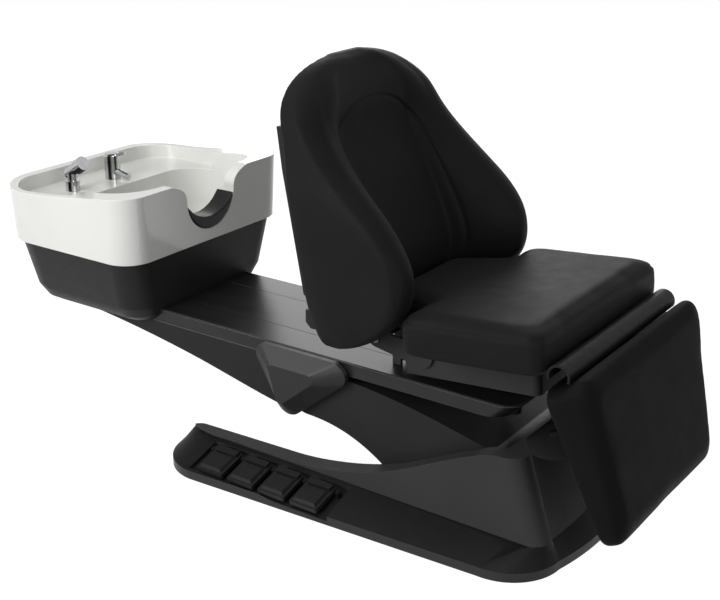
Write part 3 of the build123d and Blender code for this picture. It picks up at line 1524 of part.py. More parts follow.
def make_housing():
    """Dark housing that narrows from the basin's band down to the deck."""
    hollow = housing_solid(housing_wall)
    hollow -= box_between(basin_rear_x, basin_front_x, -basin_half, basin_half, 0, housing_low + housing_wall)
    housing = housing_solid(0) - hollow - Pos(0, 0, housing_wall) * hollow
    gap = deck_half + seat_gap
    housing -= box_between(deck_rear_x - seat_gap, basin_front_x, -gap, gap, 0, deck_top + seat_gap)
    return housing - notch_space(seat_gap)


# Waste and taps
def make_drain_flange():
    flange = rod_z(drain_x, 0, bowl_bottom + seat_gap, bowl_bottom + drain_flange_height, drain_radius)
    flange += rod_z(drain_x, 0, deck_top + cut + trap_depth, bowl_bottom + cut / 2, drain_pipe_radius)
    bore = rod_z(drain_x, 0, deck_top, bowl_bottom + cut * 2, drain_pipe_radius - trap_wall)
    seat = rod_z(drain_x, 0, bowl_bottom + drain_flange_height / 2, bowl_bottom + cut * 2, strainer_radius + cover_gap)
    return flange - bore - seat


def make_strainer():
    low = bowl_bottom + drain_flange_height / 2 + seat_gap
    disc = rod_z(drain_x, 0, low, low + drain_flange_height / 2, strainer_radius)
    for index in range(strainer_holes):
        turn = radians(360 / strainer_holes * index)
        x = drain_x + strainer_radius * strainer_ring_share * cos(turn)
        y = strainer_radius * strainer_ring_share * sin(turn)
        disc -= rod_z(x, y, low - cut, low + cut * 2, strainer_hole_radius)
    knob = rod_z(drain_x, 0, low, low + drain_flange_height * 2, strainer_hole_radius)
    return disc + knob


def make_trap():
    """Trap cup between the bowl and the deck, with an outlet down through the deck."""
    low = deck_top + seat_gap
    high = deck_top + cut + trap_depth - seat_gap
    cup = rod_z(drain_x, 0, low, high, trap_radius)
    cup += rod_z(drain_x, 0, drain_pipe_end, low + cut, outlet_radius)
    return cup - rod_z(drain_x, 0, drain_pipe_end - cut, high + cut, outlet_radius - trap_wall)


def make_mixer_body():
    low = ledge_z + seat_gap
    body = rod_z(mixer_x, mixer_y, low, low + mixer_height, mixer_radius)
    body += rod_z(mixer_x, mixer_y, basin_low + cut, low + cut, spout_radius)
    spout = rod_x(0, 0, 0, spout_length, spout_radius)
    spout = Pos(mixer_x, mixer_y, low + mixer_height / 2) * Rot(0, spout_drop, 0) * spout
    return body + spout


def make_mixer_lever():
    low = ledge_z + seat_gap * 2 + mixer_height
    cap = rod_z(mixer_x, mixer_y, low, low + mixer_cap_height, mixer_radius)
    cap = fillet(cap.edges().group_by(Axis.Z)[-1], mixer_radius / 3)
    lever = box_between(0, lever_length + mixer_radius, -lever_width / 2, lever_width / 2,
                        -lever_thickness / 2, lever_thickness / 2)
    lever = Pos(mixer_x, mixer_y, low + mixer_cap_height / 2) * Rot(0, -lever_rise, 0) * lever
    return cap + lever


def make_shower_holder():
    low = ledge_z + seat_gap
    holder = rod_z(holder_x, holder_y, low, low + holder_height, holder_radius)
    holder += rod_z(holder_x, holder_y, basin_low + cut, low + cut, spout_radius)
    stem = rod_z(holder_x, holder_y, low + cut, low + holder_height + cut, spray_stem_radius + seat_gap)
    return holder - stem


def make_hand_shower():
    """Hand spray standing in its holder, with a leaning head."""
    low = ledge_z + seat_gap * 2 + cut
    stem = rod_z(holder_x, holder_y, low, low + spray_stem_height, spray_stem_radius)
    head = rod_x(0, 0, -spray_tail_length / 2, spray_head_length, spray_stem_radius)
    head += rod_x(0, 0, spray_head_length / 2, spray_head_length, spray_head_radius)
    return stem + Pos(holder_x, holder_y, low + spray_stem_height) * Rot(0, -spray_rise, 0) * head


pieces = {
    "base_plate": make_base_plate,
    "base_glides": make_glides,
    "base_cover": make_base_cover,
    "tower_cover": make_tower_cover,
    "base_frame": make_base_frame,
    "base_pins": make_base_pins,
    "pedal_tray": make_pedal_tray,
    "pedal_shaft": make_pedal_shaft,
    "arm_cover": make_arm_cover,
    "arm_frame": make_arm_frame,
    "arm_ram_pin": make_ram_arm_pin,
    "leveling_link": make_link,
    "lift_ram_body": make_ram_body,
    "lift_ram_rod": make_ram_rod,
    "deck_tray": make_deck_tray,
    "deck_panel": make_deck_panel,
    "beam_cover": make_beam_cover,
    "deck_frame": make_deck_frame,
    "deck_pins": make_deck_pins,
    "tilt_pivot": make_tilt_pivot,
    "seat_frame": make_seat_frame,
    "seat_board": make_seat_board,
    "seat_cushion": make_seat_cushion,
    "seat_brackets": make_seat_brackets,
    "leg_brackets": make_leg_brackets,
    "recline_drive": make_recline_drive,
    "legrest_drive": make_legrest_drive,
    "gap_cover": make_gap_cover,
    "back_shaft": make_back_shaft,
    "back_frame": make_back_frame,
    "back_shell": make_back_shell,
    "back_cushion": make_back_cushion,
    "leg_shaft": make_leg_shaft,
    "legrest_frame": make_legrest_frame,
    "legrest_board": make_legrest_board,
    "legrest_cushion": make_legrest_cushion,
    "tilt_jack_housing": make_jack_housing,
    "tilt_jack_plunger": make_jack_plunger,
    "basin": make_basin,
    "neck_pad": make_neck_pad,
    "basin_housing": make_housing,
    "drain_flange": make_drain_flange,
    "drain_strainer": make_strainer,
    "waste_trap": make_trap,
    "mixer_body": make_mixer_body,
    "mixer_lever": make_mixer_lever,
    "shower_holder": make_shower_holder,
    "hand_shower": make_hand_shower,
}

for name, make in pieces.items():
    save(name, make())
for index in range(pedal_count):
    save("pedal_" + str(index + 1), make_pedal(index))
cover = make_pivot_cover()
save("pivot_cover_left", cover)
save("pivot_cover_right", mirrored_y(cover))
cap = make_hinge_cover()
save("back_cap_left", cap)
save("back_cap_right", mirrored_y(cap))
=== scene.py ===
import json
from math import cos, exp, radians, sin, sqrt

import bmesh
import bpy
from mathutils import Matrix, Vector


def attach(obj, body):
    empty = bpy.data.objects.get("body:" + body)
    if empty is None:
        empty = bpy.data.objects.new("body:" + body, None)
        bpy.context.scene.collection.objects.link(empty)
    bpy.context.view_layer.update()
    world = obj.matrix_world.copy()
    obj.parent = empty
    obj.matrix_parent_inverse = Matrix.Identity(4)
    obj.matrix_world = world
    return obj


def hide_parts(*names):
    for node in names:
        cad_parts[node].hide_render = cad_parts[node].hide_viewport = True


# Looks of the hair washing bed: basin, deck on a lift arm, reclining seat and leg rest.
# Sizes are in metres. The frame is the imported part, with X from the basin to the leg rest.

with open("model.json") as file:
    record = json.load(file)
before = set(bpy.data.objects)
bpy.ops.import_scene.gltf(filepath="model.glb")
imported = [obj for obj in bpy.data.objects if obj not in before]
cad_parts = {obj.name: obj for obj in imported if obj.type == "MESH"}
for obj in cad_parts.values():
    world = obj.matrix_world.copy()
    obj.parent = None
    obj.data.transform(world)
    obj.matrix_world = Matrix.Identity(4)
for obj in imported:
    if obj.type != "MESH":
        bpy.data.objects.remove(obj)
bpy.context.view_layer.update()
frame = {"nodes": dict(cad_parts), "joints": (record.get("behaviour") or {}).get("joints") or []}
nodes = frame["nodes"]
joint_at = {joint["name"]: Vector(joint["pos_m"]) for joint in frame["joints"] if "pos_m" in joint}

# Camera
camera_place = (1.134, -2.2785, 1.4732)
camera_turn = (radians(69.15), 0, radians(35.2))
camera_lens = 63.7
camera_sensor = 36.0

# Name, place, width and watts of each softbox
softboxes = (
    ("key_softbox", (-1.7, -4.1, 1.7), 2.6, 137),
    ("fill_softbox", (3.4, -2.0, 1.5), 2.2, 44),
    ("rear_softbox", (-3.2, 4.6, 2.4), 3.2, 72),
    ("top_softbox", (-1.2, -1.2, 3.3), 2.2, 44),
)
light_target = (-0.5, 0, 0.4)
world_level = 0.25
white_level = 1.0
floor_size = 40.0
floor_shade = 0.20
floor_glow = 0.95

# Slopes over which a face turns from level to wall, and from wall to top, for the painted light on
# walls and tops
wall_slopes = (0.35, 0.60)
top_slopes = (0.30, 0.45)

# Moulded edges
weld_gap = 0.00002
plain_bevel = 0.0004
bevel_steps = 3
bevel_angle = radians(28)
flat_angle = radians(0.4)

# Cloth run that swells the cushions
voxel_size = 0.006
fine_voxel = 0.003
relax_factor = 0.5
swell_frames = 20
swell_pressure = 4.0
cloth_quality = 4
cloth_mass = 0.4
cloth_stretch = 22
cloth_shear = 12
cloth_bend = 3
start_inset = 0.0012
seat_swell_cap = 0.007
back_swell_cap = 0.005
leg_swell_cap = 0.006
even_rounds = 14

# Directions of the cushions, and how much the photograph draws each one out
sideways = Vector((0, 1, 0))
middle_plane = Vector((0, 0, 0))
seat_slope = radians(5)
seat_axis = joint_at["seat_tilt"]
seat_rear = Vector((-0.31, 0, 0.43))
seat_fore = Vector((cos(seat_slope), 0, sin(seat_slope)))
seat_up = Vector((-sin(seat_slope), 0, cos(seat_slope)))
seat_longer = 1.018
seat_taller = 1.05
seat_wider = 1.022
leg_lean = radians(22)
leg_axis = joint_at["legrest_raise"]
leg_down = Vector((sin(leg_lean), 0, -cos(leg_lean)))
leg_out = Vector((cos(leg_lean), 0, sin(leg_lean)))
leg_longer = 1.062
leg_thicker = 1.10
leg_wider = 1.055
lean_start = 0.60
lean_rate = 0.059

# Seam round the seat, and the arched edge of the back's sunk panel
seam_width = 0.0030
seam_reach = 3 * seam_width
seam_depth = 0.0022
seam_level = 0.149
level_facing = 0.9
arch_half = 0.152
arch_spring = 0.80
arch_rise = 0.096
arch_depth = 0.0035
front_facing = 0.15


# Scene
def set_up_view():
    scene = bpy.context.scene
    scene.view_settings.view_transform = "Standard"
    data = bpy.data.cameras.new("photo_camera")
    data.lens = camera_lens
    data.sensor_width = camera_sensor
    camera = bpy.data.objects.new("photo_camera", data)
    camera.location = camera_place
    camera.rotation_euler = camera_turn
    scene.collection.objects.link(camera)
    scene.camera = camera


def set_up_light():
    """Square softboxes, turned to the middle of the bed."""
    for name, place, size, power in softboxes:
        data = bpy.data.lights.new(name, "AREA")
        data.shape = "SQUARE"
        data.size = size
        data.energy = power
        light = bpy.data.objects.new(name, data)
        light.location = place
        way = Vector(light_target) - Vector(place)
        light.rotation_euler = way.to_track_quat("-Z", "Y").to_euler()
        bpy.context.scene.collection.objects.link(light)


def set_up_world():
    """Soft grey light from all round, seen as white."""
    world = bpy.data.worlds.new("studio")
    bpy.context.scene.world = world
    world.use_nodes = True
    tree = world.node_tree
    tree.nodes.clear()
    level = tree.nodes.new("ShaderNodeMapRange")
    level.inputs["To Min"].default_value = world_level
    level.inputs["To Max"].default_value = white_level
    back = tree.nodes.new("ShaderNodeBackground")
    out = tree.nodes.new("ShaderNodeOutputWorld")
    tree.links.new(seen_by_eye(tree), level.inputs["Value"])
    tree.links.new(level.outputs["Result"], back.inputs["Strength"])
    tree.links.new(back.outputs["Background"], out.inputs["Surface"])


def seen_by_eye(tree):
    """1 for camera, mirror and glass rays, and 0 for the rays that carry light."""
    path = tree.nodes.new("ShaderNodeLightPath")
    seen = path.outputs["Is Camera Ray"]
    for ray in ("Is Glossy Ray", "Is Transmission Ray"):
        either = tree.nodes.new("ShaderNodeMath")
        either.operation = "MAXIMUM"
        tree.links.new(seen, either.inputs[0])
        tree.links.new(path.outputs[ray], either.inputs[1])
        seen = either.outputs[0]
    return seen


def make_floor():
    """Matte floor that takes the shadow, and looks white."""
    mesh = bpy.data.meshes.new("studio_floor")
    build = bmesh.new()
    bmesh.ops.create_grid(build, x_segments=4, y_segments=4, size=floor_size / 2)
    build.to_mesh(mesh)
    build.free()
    floor = bpy.data.objects.new("studio_floor", mesh)
    bpy.context.scene.collection.objects.link(floor)
    mat = bpy.data.materials.new("studio_floor")
    mat.use_nodes = True
    tree = mat.node_tree
    tree.nodes.clear()
    level = tree.nodes.new("ShaderNodeMath")
    level.operation = "MULTIPLY"
    level.inputs[1].default_value = floor_glow
    glow = tree.nodes.new("ShaderNodeEmission")
    matte = tree.nodes.new("ShaderNodeBsdfDiffuse")
    matte.inputs["Color"].default_value = (floor_shade, floor_shade, floor_shade, 1)
    both = tree.nodes.new("ShaderNodeAddShader")
    out = tree.nodes.new("ShaderNodeOutputMaterial")
    tree.links.new(seen_by_eye(tree), level.inputs[0])
    tree.links.new(level.outputs[0], glow.inputs["Strength"])
    tree.links.new(glow.outputs[0], both.inputs[0])
    tree.links.new(matte.outputs[0], both.inputs[1])
    tree.links.new(both.outputs[0], out.inputs["Surface"])
    mesh.materials.append(mat)


# Materials
class Finish:
    """Node tree of one material, with the helpers that the finishes share."""

    def __init__(self, name):
        self.mat = bpy.data.materials.new(name)
        self.mat.use_nodes = True
        self.tree = self.mat.node_tree
        self.shader = self.tree.nodes["Principled BSDF"]
        coords = self.tree.nodes.new("ShaderNodeTexCoord")
        self.place = coords.outputs["Object"]
        self.normal = coords.outputs["Normal"]

    def noise(self, scale, detail=3.0, rough=0.55):
        node = self.tree.nodes.new("ShaderNodeTexNoise")
        node.inputs["Scale"].default_value = scale
        node.inputs["Detail"].default_value = detail
        node.inputs["Roughness"].default_value = rough
        self.tree.links.new(self.place, node.inputs["Vector"])
        return node.outputs["Fac"]

    def stretched_noise(self, scale, stretch, detail):
        """Noise drawn out along one axis, for rolled or brushed surfaces."""
        move = self.tree.nodes.new("ShaderNodeMapping")
        move.inputs["Scale"].default_value = stretch
        node = self.tree.nodes.new("ShaderNodeTexNoise")
        node.inputs["Scale"].default_value = scale
        node.inputs["Detail"].default_value = detail
        self.tree.links.new(self.place, move.inputs["Vector"])
        self.tree.links.new(move.outputs["Vector"], node.inputs["Vector"])
        return node.outputs["Fac"]

    def cells(self, scale, feature="DISTANCE_TO_EDGE"):
        node = self.tree.nodes.new("ShaderNodeTexVoronoi")
        node.feature = feature
        node.inputs["Scale"].default_value = scale
        self.tree.links.new(self.place, node.inputs["Vector"])
        return node.outputs["Distance"]

    def facing(self, axis):
        """Part of the piece's own surface direction along an axis."""
        parts = self.tree.nodes.new("ShaderNodeSeparateXYZ")
        self.tree.links.new(self.normal, parts.inputs["Vector"])
        return parts.outputs[axis]

    def ranged(self, value, low, high, to_low, to_high):
        node = self.tree.nodes.new("ShaderNodeMapRange")
        node.inputs["From Min"].default_value = low
        node.inputs["From Max"].default_value = high
        node.inputs["To Min"].default_value = to_low
        node.inputs["To Max"].default_value = to_high
        self.tree.links.new(value, node.inputs["Value"])
        return node.outputs["Result"]

    def share(self, value, low=0.35, high=0.65):
        """Share from 0 to 1 of the way that a value has gone from low to high."""
        return self.ranged(value, low, high, 0.0, 1.0)

    def joined(self, operation, first, second):
        node = self.tree.nodes.new("ShaderNodeMath")
        node.operation = operation
        self.tree.links.new(first, node.inputs[0])
        self.tree.links.new(second, node.inputs[1])
        return node.outputs[0]

    def blend(self, share, low, high):
        """Colour between two shades by a share from 0 to 1."""
        node = self.tree.nodes.new("ShaderNodeMix")
        node.data_type = "RGBA"
        node.inputs["A"].default_value = (*low, 1)
        node.inputs["B"].default_value = (*high, 1)
        self.tree.links.new(share, node.inputs["Factor"])
        return node.outputs["Result"]

    def greys(self, share, low, high):
        return self.blend(share, (low,) * 3, (high,) * 3)

    def mixed(self, share, colour, shade):
        """A colour with a plain grey laid over it by a share."""
        mix = self.tree.nodes.new("ShaderNodeMix")
        mix.data_type = "RGBA"
        mix.inputs["B"].default_value = (shade,) * 3 + (1,)
        self.tree.links.new(share, mix.inputs["Factor"])
        self.tree.links.new(colour, mix.inputs["A"])
        return mix.outputs["Result"]

    def on_walls(self, colour, shade):
        """Painted light and shade: another grey on the faces that stand upright, for the light that
        falls on walls.
        """
        slope = self.tree.nodes.new("ShaderNodeMath")
        slope.operation = "ABSOLUTE"
        self.tree.links.new(self.facing("Z"), slope.inputs[0])
        return self.mixed(self.ranged(slope.outputs[0], *wall_slopes, 1.0, 0.0), colour, shade)

    def on_tops(self, colour, shade):
        """Painted highlight: another grey on the faces that look up, for the light that they
        reflect.
        """
        return self.mixed(self.share(self.facing("Z"), *top_slopes), colour, shade)

    def colour(self, value):
        self.tree.links.new(value, self.shader.inputs["Base Color"])

    def rough(self, value):
        self.tree.links.new(value, self.shader.inputs["Roughness"])

    def rough_by(self, noise, low, high):
        """Roughness that follows a noise, from low to high."""
        self.rough(self.ranged(noise, 0.3, 0.7, low, high))

    def bump(self, height, distance, strength):
        node = self.tree.nodes.new("ShaderNodeBump")
        node.inputs["Distance"].default_value = distance
        node.inputs["Strength"].default_value = strength
        self.tree.links.new(height, node.inputs["Height"])
        self.tree.links.new(node.outputs["Normal"], self.shader.inputs["Normal"])

    def set(self, **values):
        for name, value in values.items():
            self.shader.inputs[name.replace("_", " ")].default_value = value


def leather(name, shade, light, specular):
    """Black upholstery leather with a pebbled grain, fine creases and patchy tone."""
    finish = Finish(name)
    patches = finish.share(finish.noise(7.0, detail=4.0), 0.35, 0.68)
    finish.colour(finish.greys(patches, shade, light))
    finish.rough_by(finish.noise(24.0), 0.47, 0.54)
    grain = finish.share(finish.cells(520.0), 0.0, 0.35)
    creases = finish.ranged(finish.noise(140.0, detail=5.0), 0.3, 0.7, 0.0, 0.9)
    finish.bump(finish.joined("ADD", grain, creases), 0.00016, 0.75)
    finish.set(Specular_IOR_Level=specular, Sheen_Weight=0.01, Sheen_Roughness=0.5)
    return finish.mat


def moulded(name, shade, light, rough, specular, wall=None, top=None):
    """Charcoal moulded plastic with a fine eroded texture, and painted light on upright faces or
    painted highlight on upward faces where asked.
    """
    finish = Finish(name)
    colour = finish.greys(finish.share(finish.noise(5.0)), shade, light)
    if wall:
        colour = finish.on_walls(colour, wall)
    if top:
        colour = finish.on_tops(colour, top)
    finish.colour(colour)
    finish.rough_by(finish.noise(60.0), rough - 0.04, rough + 0.06)
    finish.bump(finish.noise(1500.0, detail=2.0), 0.00006, 0.6)
    finish.set(Specular_IOR_Level=specular)
    return finish.mat


def deck_paint(name):
    """Satin powder coat on the deck, with fine flow marks along it."""
    finish = Finish(name)
    marks = finish.stretched_noise(30.0, (0.15, 1.0, 1.0), detail=3.0)
    finish.colour(finish.greys(finish.share(marks), 0.012, 0.015))
    finish.rough_by(marks, 0.285, 0.315)
    finish.bump(finish.noise(900.0, detail=2.0), 0.00005, 0.5)
    finish.set(Specular_IOR_Level=0.23)
    return finish.mat


def pedal_rubber(name):
    """Black rubber, scuffed by shoes."""
    finish = Finish(name)
    scuffs = finish.share(finish.noise(110.0, detail=5.0, rough=0.7), 0.45, 0.72)
    finish.colour(finish.greys(scuffs, 0.014, 0.018))
    finish.rough(finish.ranged(scuffs, 0.0, 1.0, 0.42, 0.6))
    finish.bump(finish.cells(900.0), 0.0001, 0.5)
    finish.set(Specular_IOR_Level=0.10)
    return finish.mat


def ceramic(name):
    """Glazed white ceramic, a little uneven under the glaze."""
    finish = Finish(name)
    clouds = finish.share(finish.noise(4.0, detail=2.0))
    finish.colour(finish.blend(clouds, (0.735, 0.74, 0.71), (0.77, 0.775, 0.745)))
    finish.rough_by(finish.noise(18.0, detail=2.0), 0.10, 0.16)
    finish.bump(finish.noise(22.0, detail=2.0), 0.0004, 0.12)
    finish.set(Specular_IOR_Level=0.5, Coat_Weight=0.35, Coat_Roughness=0.06)
    return finish.mat


def chrome(name):
    """Chrome, with a painted dark reflection band on the faces turned partly along X, for the dark
    room mirrored beside the lamps.
    """
    finish = Finish(name)
    film = finish.share(finish.noise(70.0), 0.3, 0.7)
    colour = finish.blend(film, (0.50, 0.51, 0.52), (0.60, 0.60, 0.61))
    # Painted reflection: faces turned partly along X take a near-black grey
    side = finish.facing("X")
    starts = finish.share(side, 0.10, 0.22)
    ends = finish.ranged(side, 0.52, 0.70, 1.0, 0.0)
    finish.colour(finish.mixed(finish.joined("MULTIPLY", starts, ends), colour, 0.012))
    finish.rough(finish.ranged(film, 0.0, 1.0, 0.04, 0.09))
    finish.set(Metallic=1.0)
    return finish.mat


def gel(name):
    """Soft black gel of the neck rest."""
    finish = Finish(name)
    clouds = finish.share(finish.noise(40.0))
    finish.colour(finish.greys(clouds, 0.007, 0.010))
    finish.rough(finish.ranged(clouds, 0.0, 1.0, 0.34, 0.42))
    finish.bump(finish.noise(300.0), 0.0001, 0.4)
    finish.set(Specular_IOR_Level=0.16, Coat_Weight=0.03, Coat_Roughness=0.25)
    return finish.mat


def zinc_steel(name):
    """Blackened zinc plating."""
    finish = Finish(name)
    spangle = finish.share(finish.cells(90.0, feature="F1"), 0.0, 0.9)
    finish.colour(finish.blend(spangle, (0.060, 0.062, 0.064), (0.090, 0.092, 0.095)))
    finish.rough_by(finish.noise(80.0), 0.30, 0.48)
    finish.set(Metallic=1.0)
    return finish.mat


def painted_steel(name):
    """Black paint on the hidden frames."""
    finish = Finish(name)
    finish.colour(finish.greys(finish.share(finish.noise(12.0)), 0.018, 0.026))
    finish.rough_by(finish.noise(200.0), 0.42, 0.55)
    finish.bump(finish.noise(700.0), 0.00008, 0.6)
    finish.set(Specular_IOR_Level=0.4)
    return finish.mat


def glide_rubber(name):
    """Dusty rubber of the glides on the floor."""
    finish = Finish(name)
    finish.colour(finish.greys(finish.noise(80.0), 0.02, 0.05))
    finish.rough_by(finish.noise(120.0), 0.7, 0.9)
    finish.bump(finish.noise(600.0), 0.0001, 0.6)
    return finish.mat


finishes = {
    "leather": leather("black_leather", 0.0080, 0.0095, specular=0.055),
    # Painted shade: a copy of the black leather with less reflection and a touch darker, so the leg
    # rest looks shaded
    "dimmed_leg_leather": leather("dimmed_copy_leather", 0.0080, 0.0092, specular=0.015),
    # Painted edge highlights: paler greys laid on the bevels of the covers, for light caught on
    # their edges
    "edge_highlight": moulded("edge_highlight_paint", 0.130, 0.140, rough=0.45, specular=0.12),
    "dim_edge_highlight": moulded("dim_edge_highlight_paint", 0.040, 0.046, rough=0.45, specular=0.12),
    "apron": moulded("apron_plastic", 0.0075, 0.0090, rough=0.45, specular=0.12),
    # Painted light and shade: the base's upright faces are painted paler than its level ones, where
    # the lamps fall on the walls
    "base": moulded("base_plastic", 0.0075, 0.0090, rough=0.42, specular=0.15, wall=0.030),
    "plastic": moulded("charcoal_plastic", 0.037, 0.041, rough=0.5, specular=0.06),
    "arm_plastic": moulded("arm_plastic", 0.0150, 0.0175, rough=0.45, specular=0.12),
    "shell": moulded("shell_plastic", 0.016, 0.019, rough=0.45, specular=0.10),
    "housing": moulded("housing_plastic", 0.018, 0.021, rough=0.45, specular=0.12),
    "beam": moulded("beam_plastic", 0.0115, 0.0135, rough=0.45, specular=0.13),
    # Painted highlight: the covers' upward faces are painted paler, for the light that they reflect
    "cover": moulded("cover_plastic", 0.0155, 0.0180, rough=0.45, specular=0.20, top=0.050),
    "rubber": moulded("black_rubber", 0.004, 0.006, rough=0.6, specular=0.04),
    "deck_paint": deck_paint("deck_powder_coat"),
    "pedal": pedal_rubber("pedal_rubber"),
    "frame_paint": painted_steel("frame_paint"),
    "seat_paint": moulded("seat_box_paint", 0.036, 0.040, rough=0.45, specular=0.06),
    "steel": zinc_steel("zinc_steel"),
    "ceramic": ceramic("glazed_ceramic"),
    "neck": gel("neck_gel"),
    "chrome": chrome("polished_chrome"),
    "glide": glide_rubber("glide_rubber"),
}

# Finish of each carried-over node
node_finish = {
    "base_plate": "frame_paint",
    "base_glides": "glide",
    "base_cover": "base",
    "tower_cover": "plastic",
    "base_frame": "frame_paint",
    "base_pins": "steel",
    "pedal_tray": "apron",
    "pedal_shaft": "rubber",
    "arm_cover": "arm_plastic",
    "arm_frame": "frame_paint",
    "arm_ram_pin": "steel",
    "leveling_link": "frame_paint",
    "lift_ram_body": "frame_paint",
    "lift_ram_rod": "steel",
    "deck_tray": "deck_paint",
    "deck_panel": "deck_paint",
    "beam_cover": "beam",
    "deck_frame": "frame_paint",
    "deck_pins": "steel",
    "tilt_pivot": "frame_paint",
    "pivot_cover_left": "cover",
    "pivot_cover_right": "cover",
    "tilt_jack_housing": "frame_paint",
    "tilt_jack_plunger": "steel",
    "basin": "ceramic",
    "basin_housing": "housing",
    "drain_flange": "chrome",
    "drain_strainer": "chrome",
    "waste_trap": "apron",
    "mixer_body": "chrome",
    "mixer_lever": "chrome",
    "shower_holder": "chrome",
    "hand_shower": "chrome",
    "seat_frame": "seat_paint",
    "seat_board": "rubber",
    "seat_brackets": "seat_paint",
    "leg_brackets": "seat_paint",
    "recline_drive": "apron",
    "legrest_drive": "apron",
    "gap_cover": "apron",
    "back_shaft": "steel",
    "back_frame": "frame_paint",
    "back_shell": "shell",
    "back_cap_left": "shell",
    "back_cap_right": "shell",
    "leg_shaft": "steel",
    "legrest_frame": "frame_paint",
    "legrest_board": "rubber",
}

# Radius of the edges of the nodes that have soft moulded ones
node_bevel = {
    "base_cover": 0.0026,
    "tower_cover": 0.0026,
    "arm_cover": 0.0020,
    "deck_tray": 0.0012,
    "beam_cover": 0.0016,
    "basin": 0.0070,
    "basin_housing": 0.0040,
    "pivot_cover_left": 0.0020,
    "pivot_cover_right": 0.0020,
    "seat_frame": 0.0012,
    "seat_brackets": 0.0015,
    "leg_brackets": 0.0012,
    "back_shell": 0.0050,
    "back_cap_left": 0.0030,
    "back_cap_right": 0.0030,
    "gap_cover": 0.0012,
    "deck_panel": 0.0005,
}

# Painted highlight on the bevelled edges of the moulded covers: a paler grey on the bevel faces, for
# the light that catches them
node_edge_highlight = {
    "base_cover": "edge_highlight",
    "tower_cover": "edge_highlight",
    "arm_cover": "dim_edge_highlight",
    "beam_cover": "edge_highlight",
    "deck_tray": "edge_highlight",
    "pivot_cover_left": "dim_edge_highlight",
    "pivot_cover_right": "dim_edge_highlight",
    "seat_frame": "dim_edge_highlight",
}

for number in range(1, 5):
    node_finish[f"pedal_{number}"] = "pedal"
    node_bevel[f"pedal_{number}"] = 0.0010


# Moulded pieces
def weld_corners(piece):
    """Joins the points that neighbouring faces hold twice."""
    weld = piece.modifiers.new("weld", "WELD")
    weld.merge_threshold = weld_gap


def finish_piece(piece, name):
    """Gives a moulded piece the material and the softened edges of a node, with a painted edge
    highlight on the bevels of some.
    """
    materials = piece.data.materials
    materials.clear()
    materials.append(finishes[node_finish[name]])
    weld_corners(piece)
    flat = piece.modifiers.new("flat", "DECIMATE")
    flat.decimate_type = "DISSOLVE"
    flat.angle_limit = flat_angle
    bevel = piece.modifiers.new("bevel", "BEVEL")
    bevel.width = node_bevel.get(name, plain_bevel)
    bevel.segments = bevel_steps
    bevel.limit_method = "ANGLE"
    bevel.angle_limit = bevel_angle
    bevel.harden_normals = True
    # Painted highlight: these nodes' bevel faces take the paler edge highlight grey
    if name in node_edge_highlight:
        materials.append(finishes[node_edge_highlight[name]])
        bevel.material = 1
    for polygon in piece.data.polygons:
        polygon.use_smooth = True
        polygon.material_index = 0
    smooth = piece.modifiers.new("normals", "WEIGHTED_NORMAL")
    smooth.keep_sharp = True


def finish_nodes():
    for name in node_finish:
        finish_piece(nodes[name], name)


# Mesh helpers
def bake_modifiers(piece):
    """Replaces the piece's mesh by its mesh with modifiers."""
    depsgraph = bpy.context.evaluated_depsgraph_get()
    mesh = bpy.data.meshes.new_from_object(piece.evaluated_get(depsgraph))
    piece.modifiers.clear()
    piece.data = mesh
    for polygon in mesh.polygons:
        polygon.use_smooth = True


def relax(piece, steps):
    smooth = piece.modifiers.new("relax", "SMOOTH")
    smooth.factor = relax_factor
    smooth.iterations = steps
    bake_modifiers(piece)


def subdivide(piece):
    sub = piece.modifiers.new("subdivide", "SUBSURF")
    sub.levels = 1
    sub.render_levels = 1
    bake_modifiers(piece)


def soft_copy(node, name, voxel, finish, steps):
    """Copy of a CAD node, remeshed evenly so that it can swell, and relaxed."""
    mesh = nodes[node].data.copy()
    piece = bpy.data.objects.new(name, mesh)
    bpy.context.scene.collection.objects.link(piece)
    mesh.materials.clear()
    mesh.materials.append(finishes[finish])
    weld_corners(piece)
    remesh = piece.modifiers.new("remesh", "REMESH")
    remesh.mode = "VOXEL"
    remesh.voxel_size = voxel
    bake_modifiers(piece)
    relax(piece, steps)
    return piece


def shrink(piece, depth):
    """Draws each point in along its normal."""
    mesh = piece.data
    normals = [vertex.normal.copy() for vertex in mesh.vertices]
    for vertex, normal in zip(mesh.vertices, normals):
        vertex.co -= normal * depth
    mesh.update()


def stretch(piece, place, axis, factor):
    """Draws a piece out along an axis, away from the level of a place."""
    for vertex in piece.data.vertices:
        vertex.co += axis * ((factor - 1) * (vertex.co - place).dot(axis))
    piece.data.update()


def lean_back(piece):
    """Tips the top of the back rearward above the lean's start."""
    for vertex in piece.data.vertices:
        vertex.co.x -= lean_rate * max(vertex.co.z - lean_start, 0)
    piece.data.update()


def evened(piece, values):
    """Each point's value averaged with its neighbours', again and again, so that no pucker stays."""
    edges = [tuple(edge.vertices) for edge in piece.data.edges]
    for _ in range(even_rounds):
        sums = list(values)
        counts = [1] * len(values)
        for first, second in edges:
            sums[first] += values[second]
            sums[second] += values[first]
            counts[first] += 1
            counts[second] += 1
        values = [total / count for total, count in zip(sums, counts)]
    return values


def add_cloth(piece):
    """Cloth under pressure from inside, with no weight."""
    settings = piece.modifiers.new("cloth", "CLOTH").settings
    settings.use_pressure = True
    settings.uniform_pressure_force = swell_pressure
    settings.effector_weights.gravity = 0
    settings.quality = cloth_quality
    settings.mass = cloth_mass
    settings.tension_stiffness = cloth_stretch
    settings.compression_stiffness = cloth_stretch
    settings.shear_stiffness = cloth_shear
    settings.bending_stiffness = cloth_bend


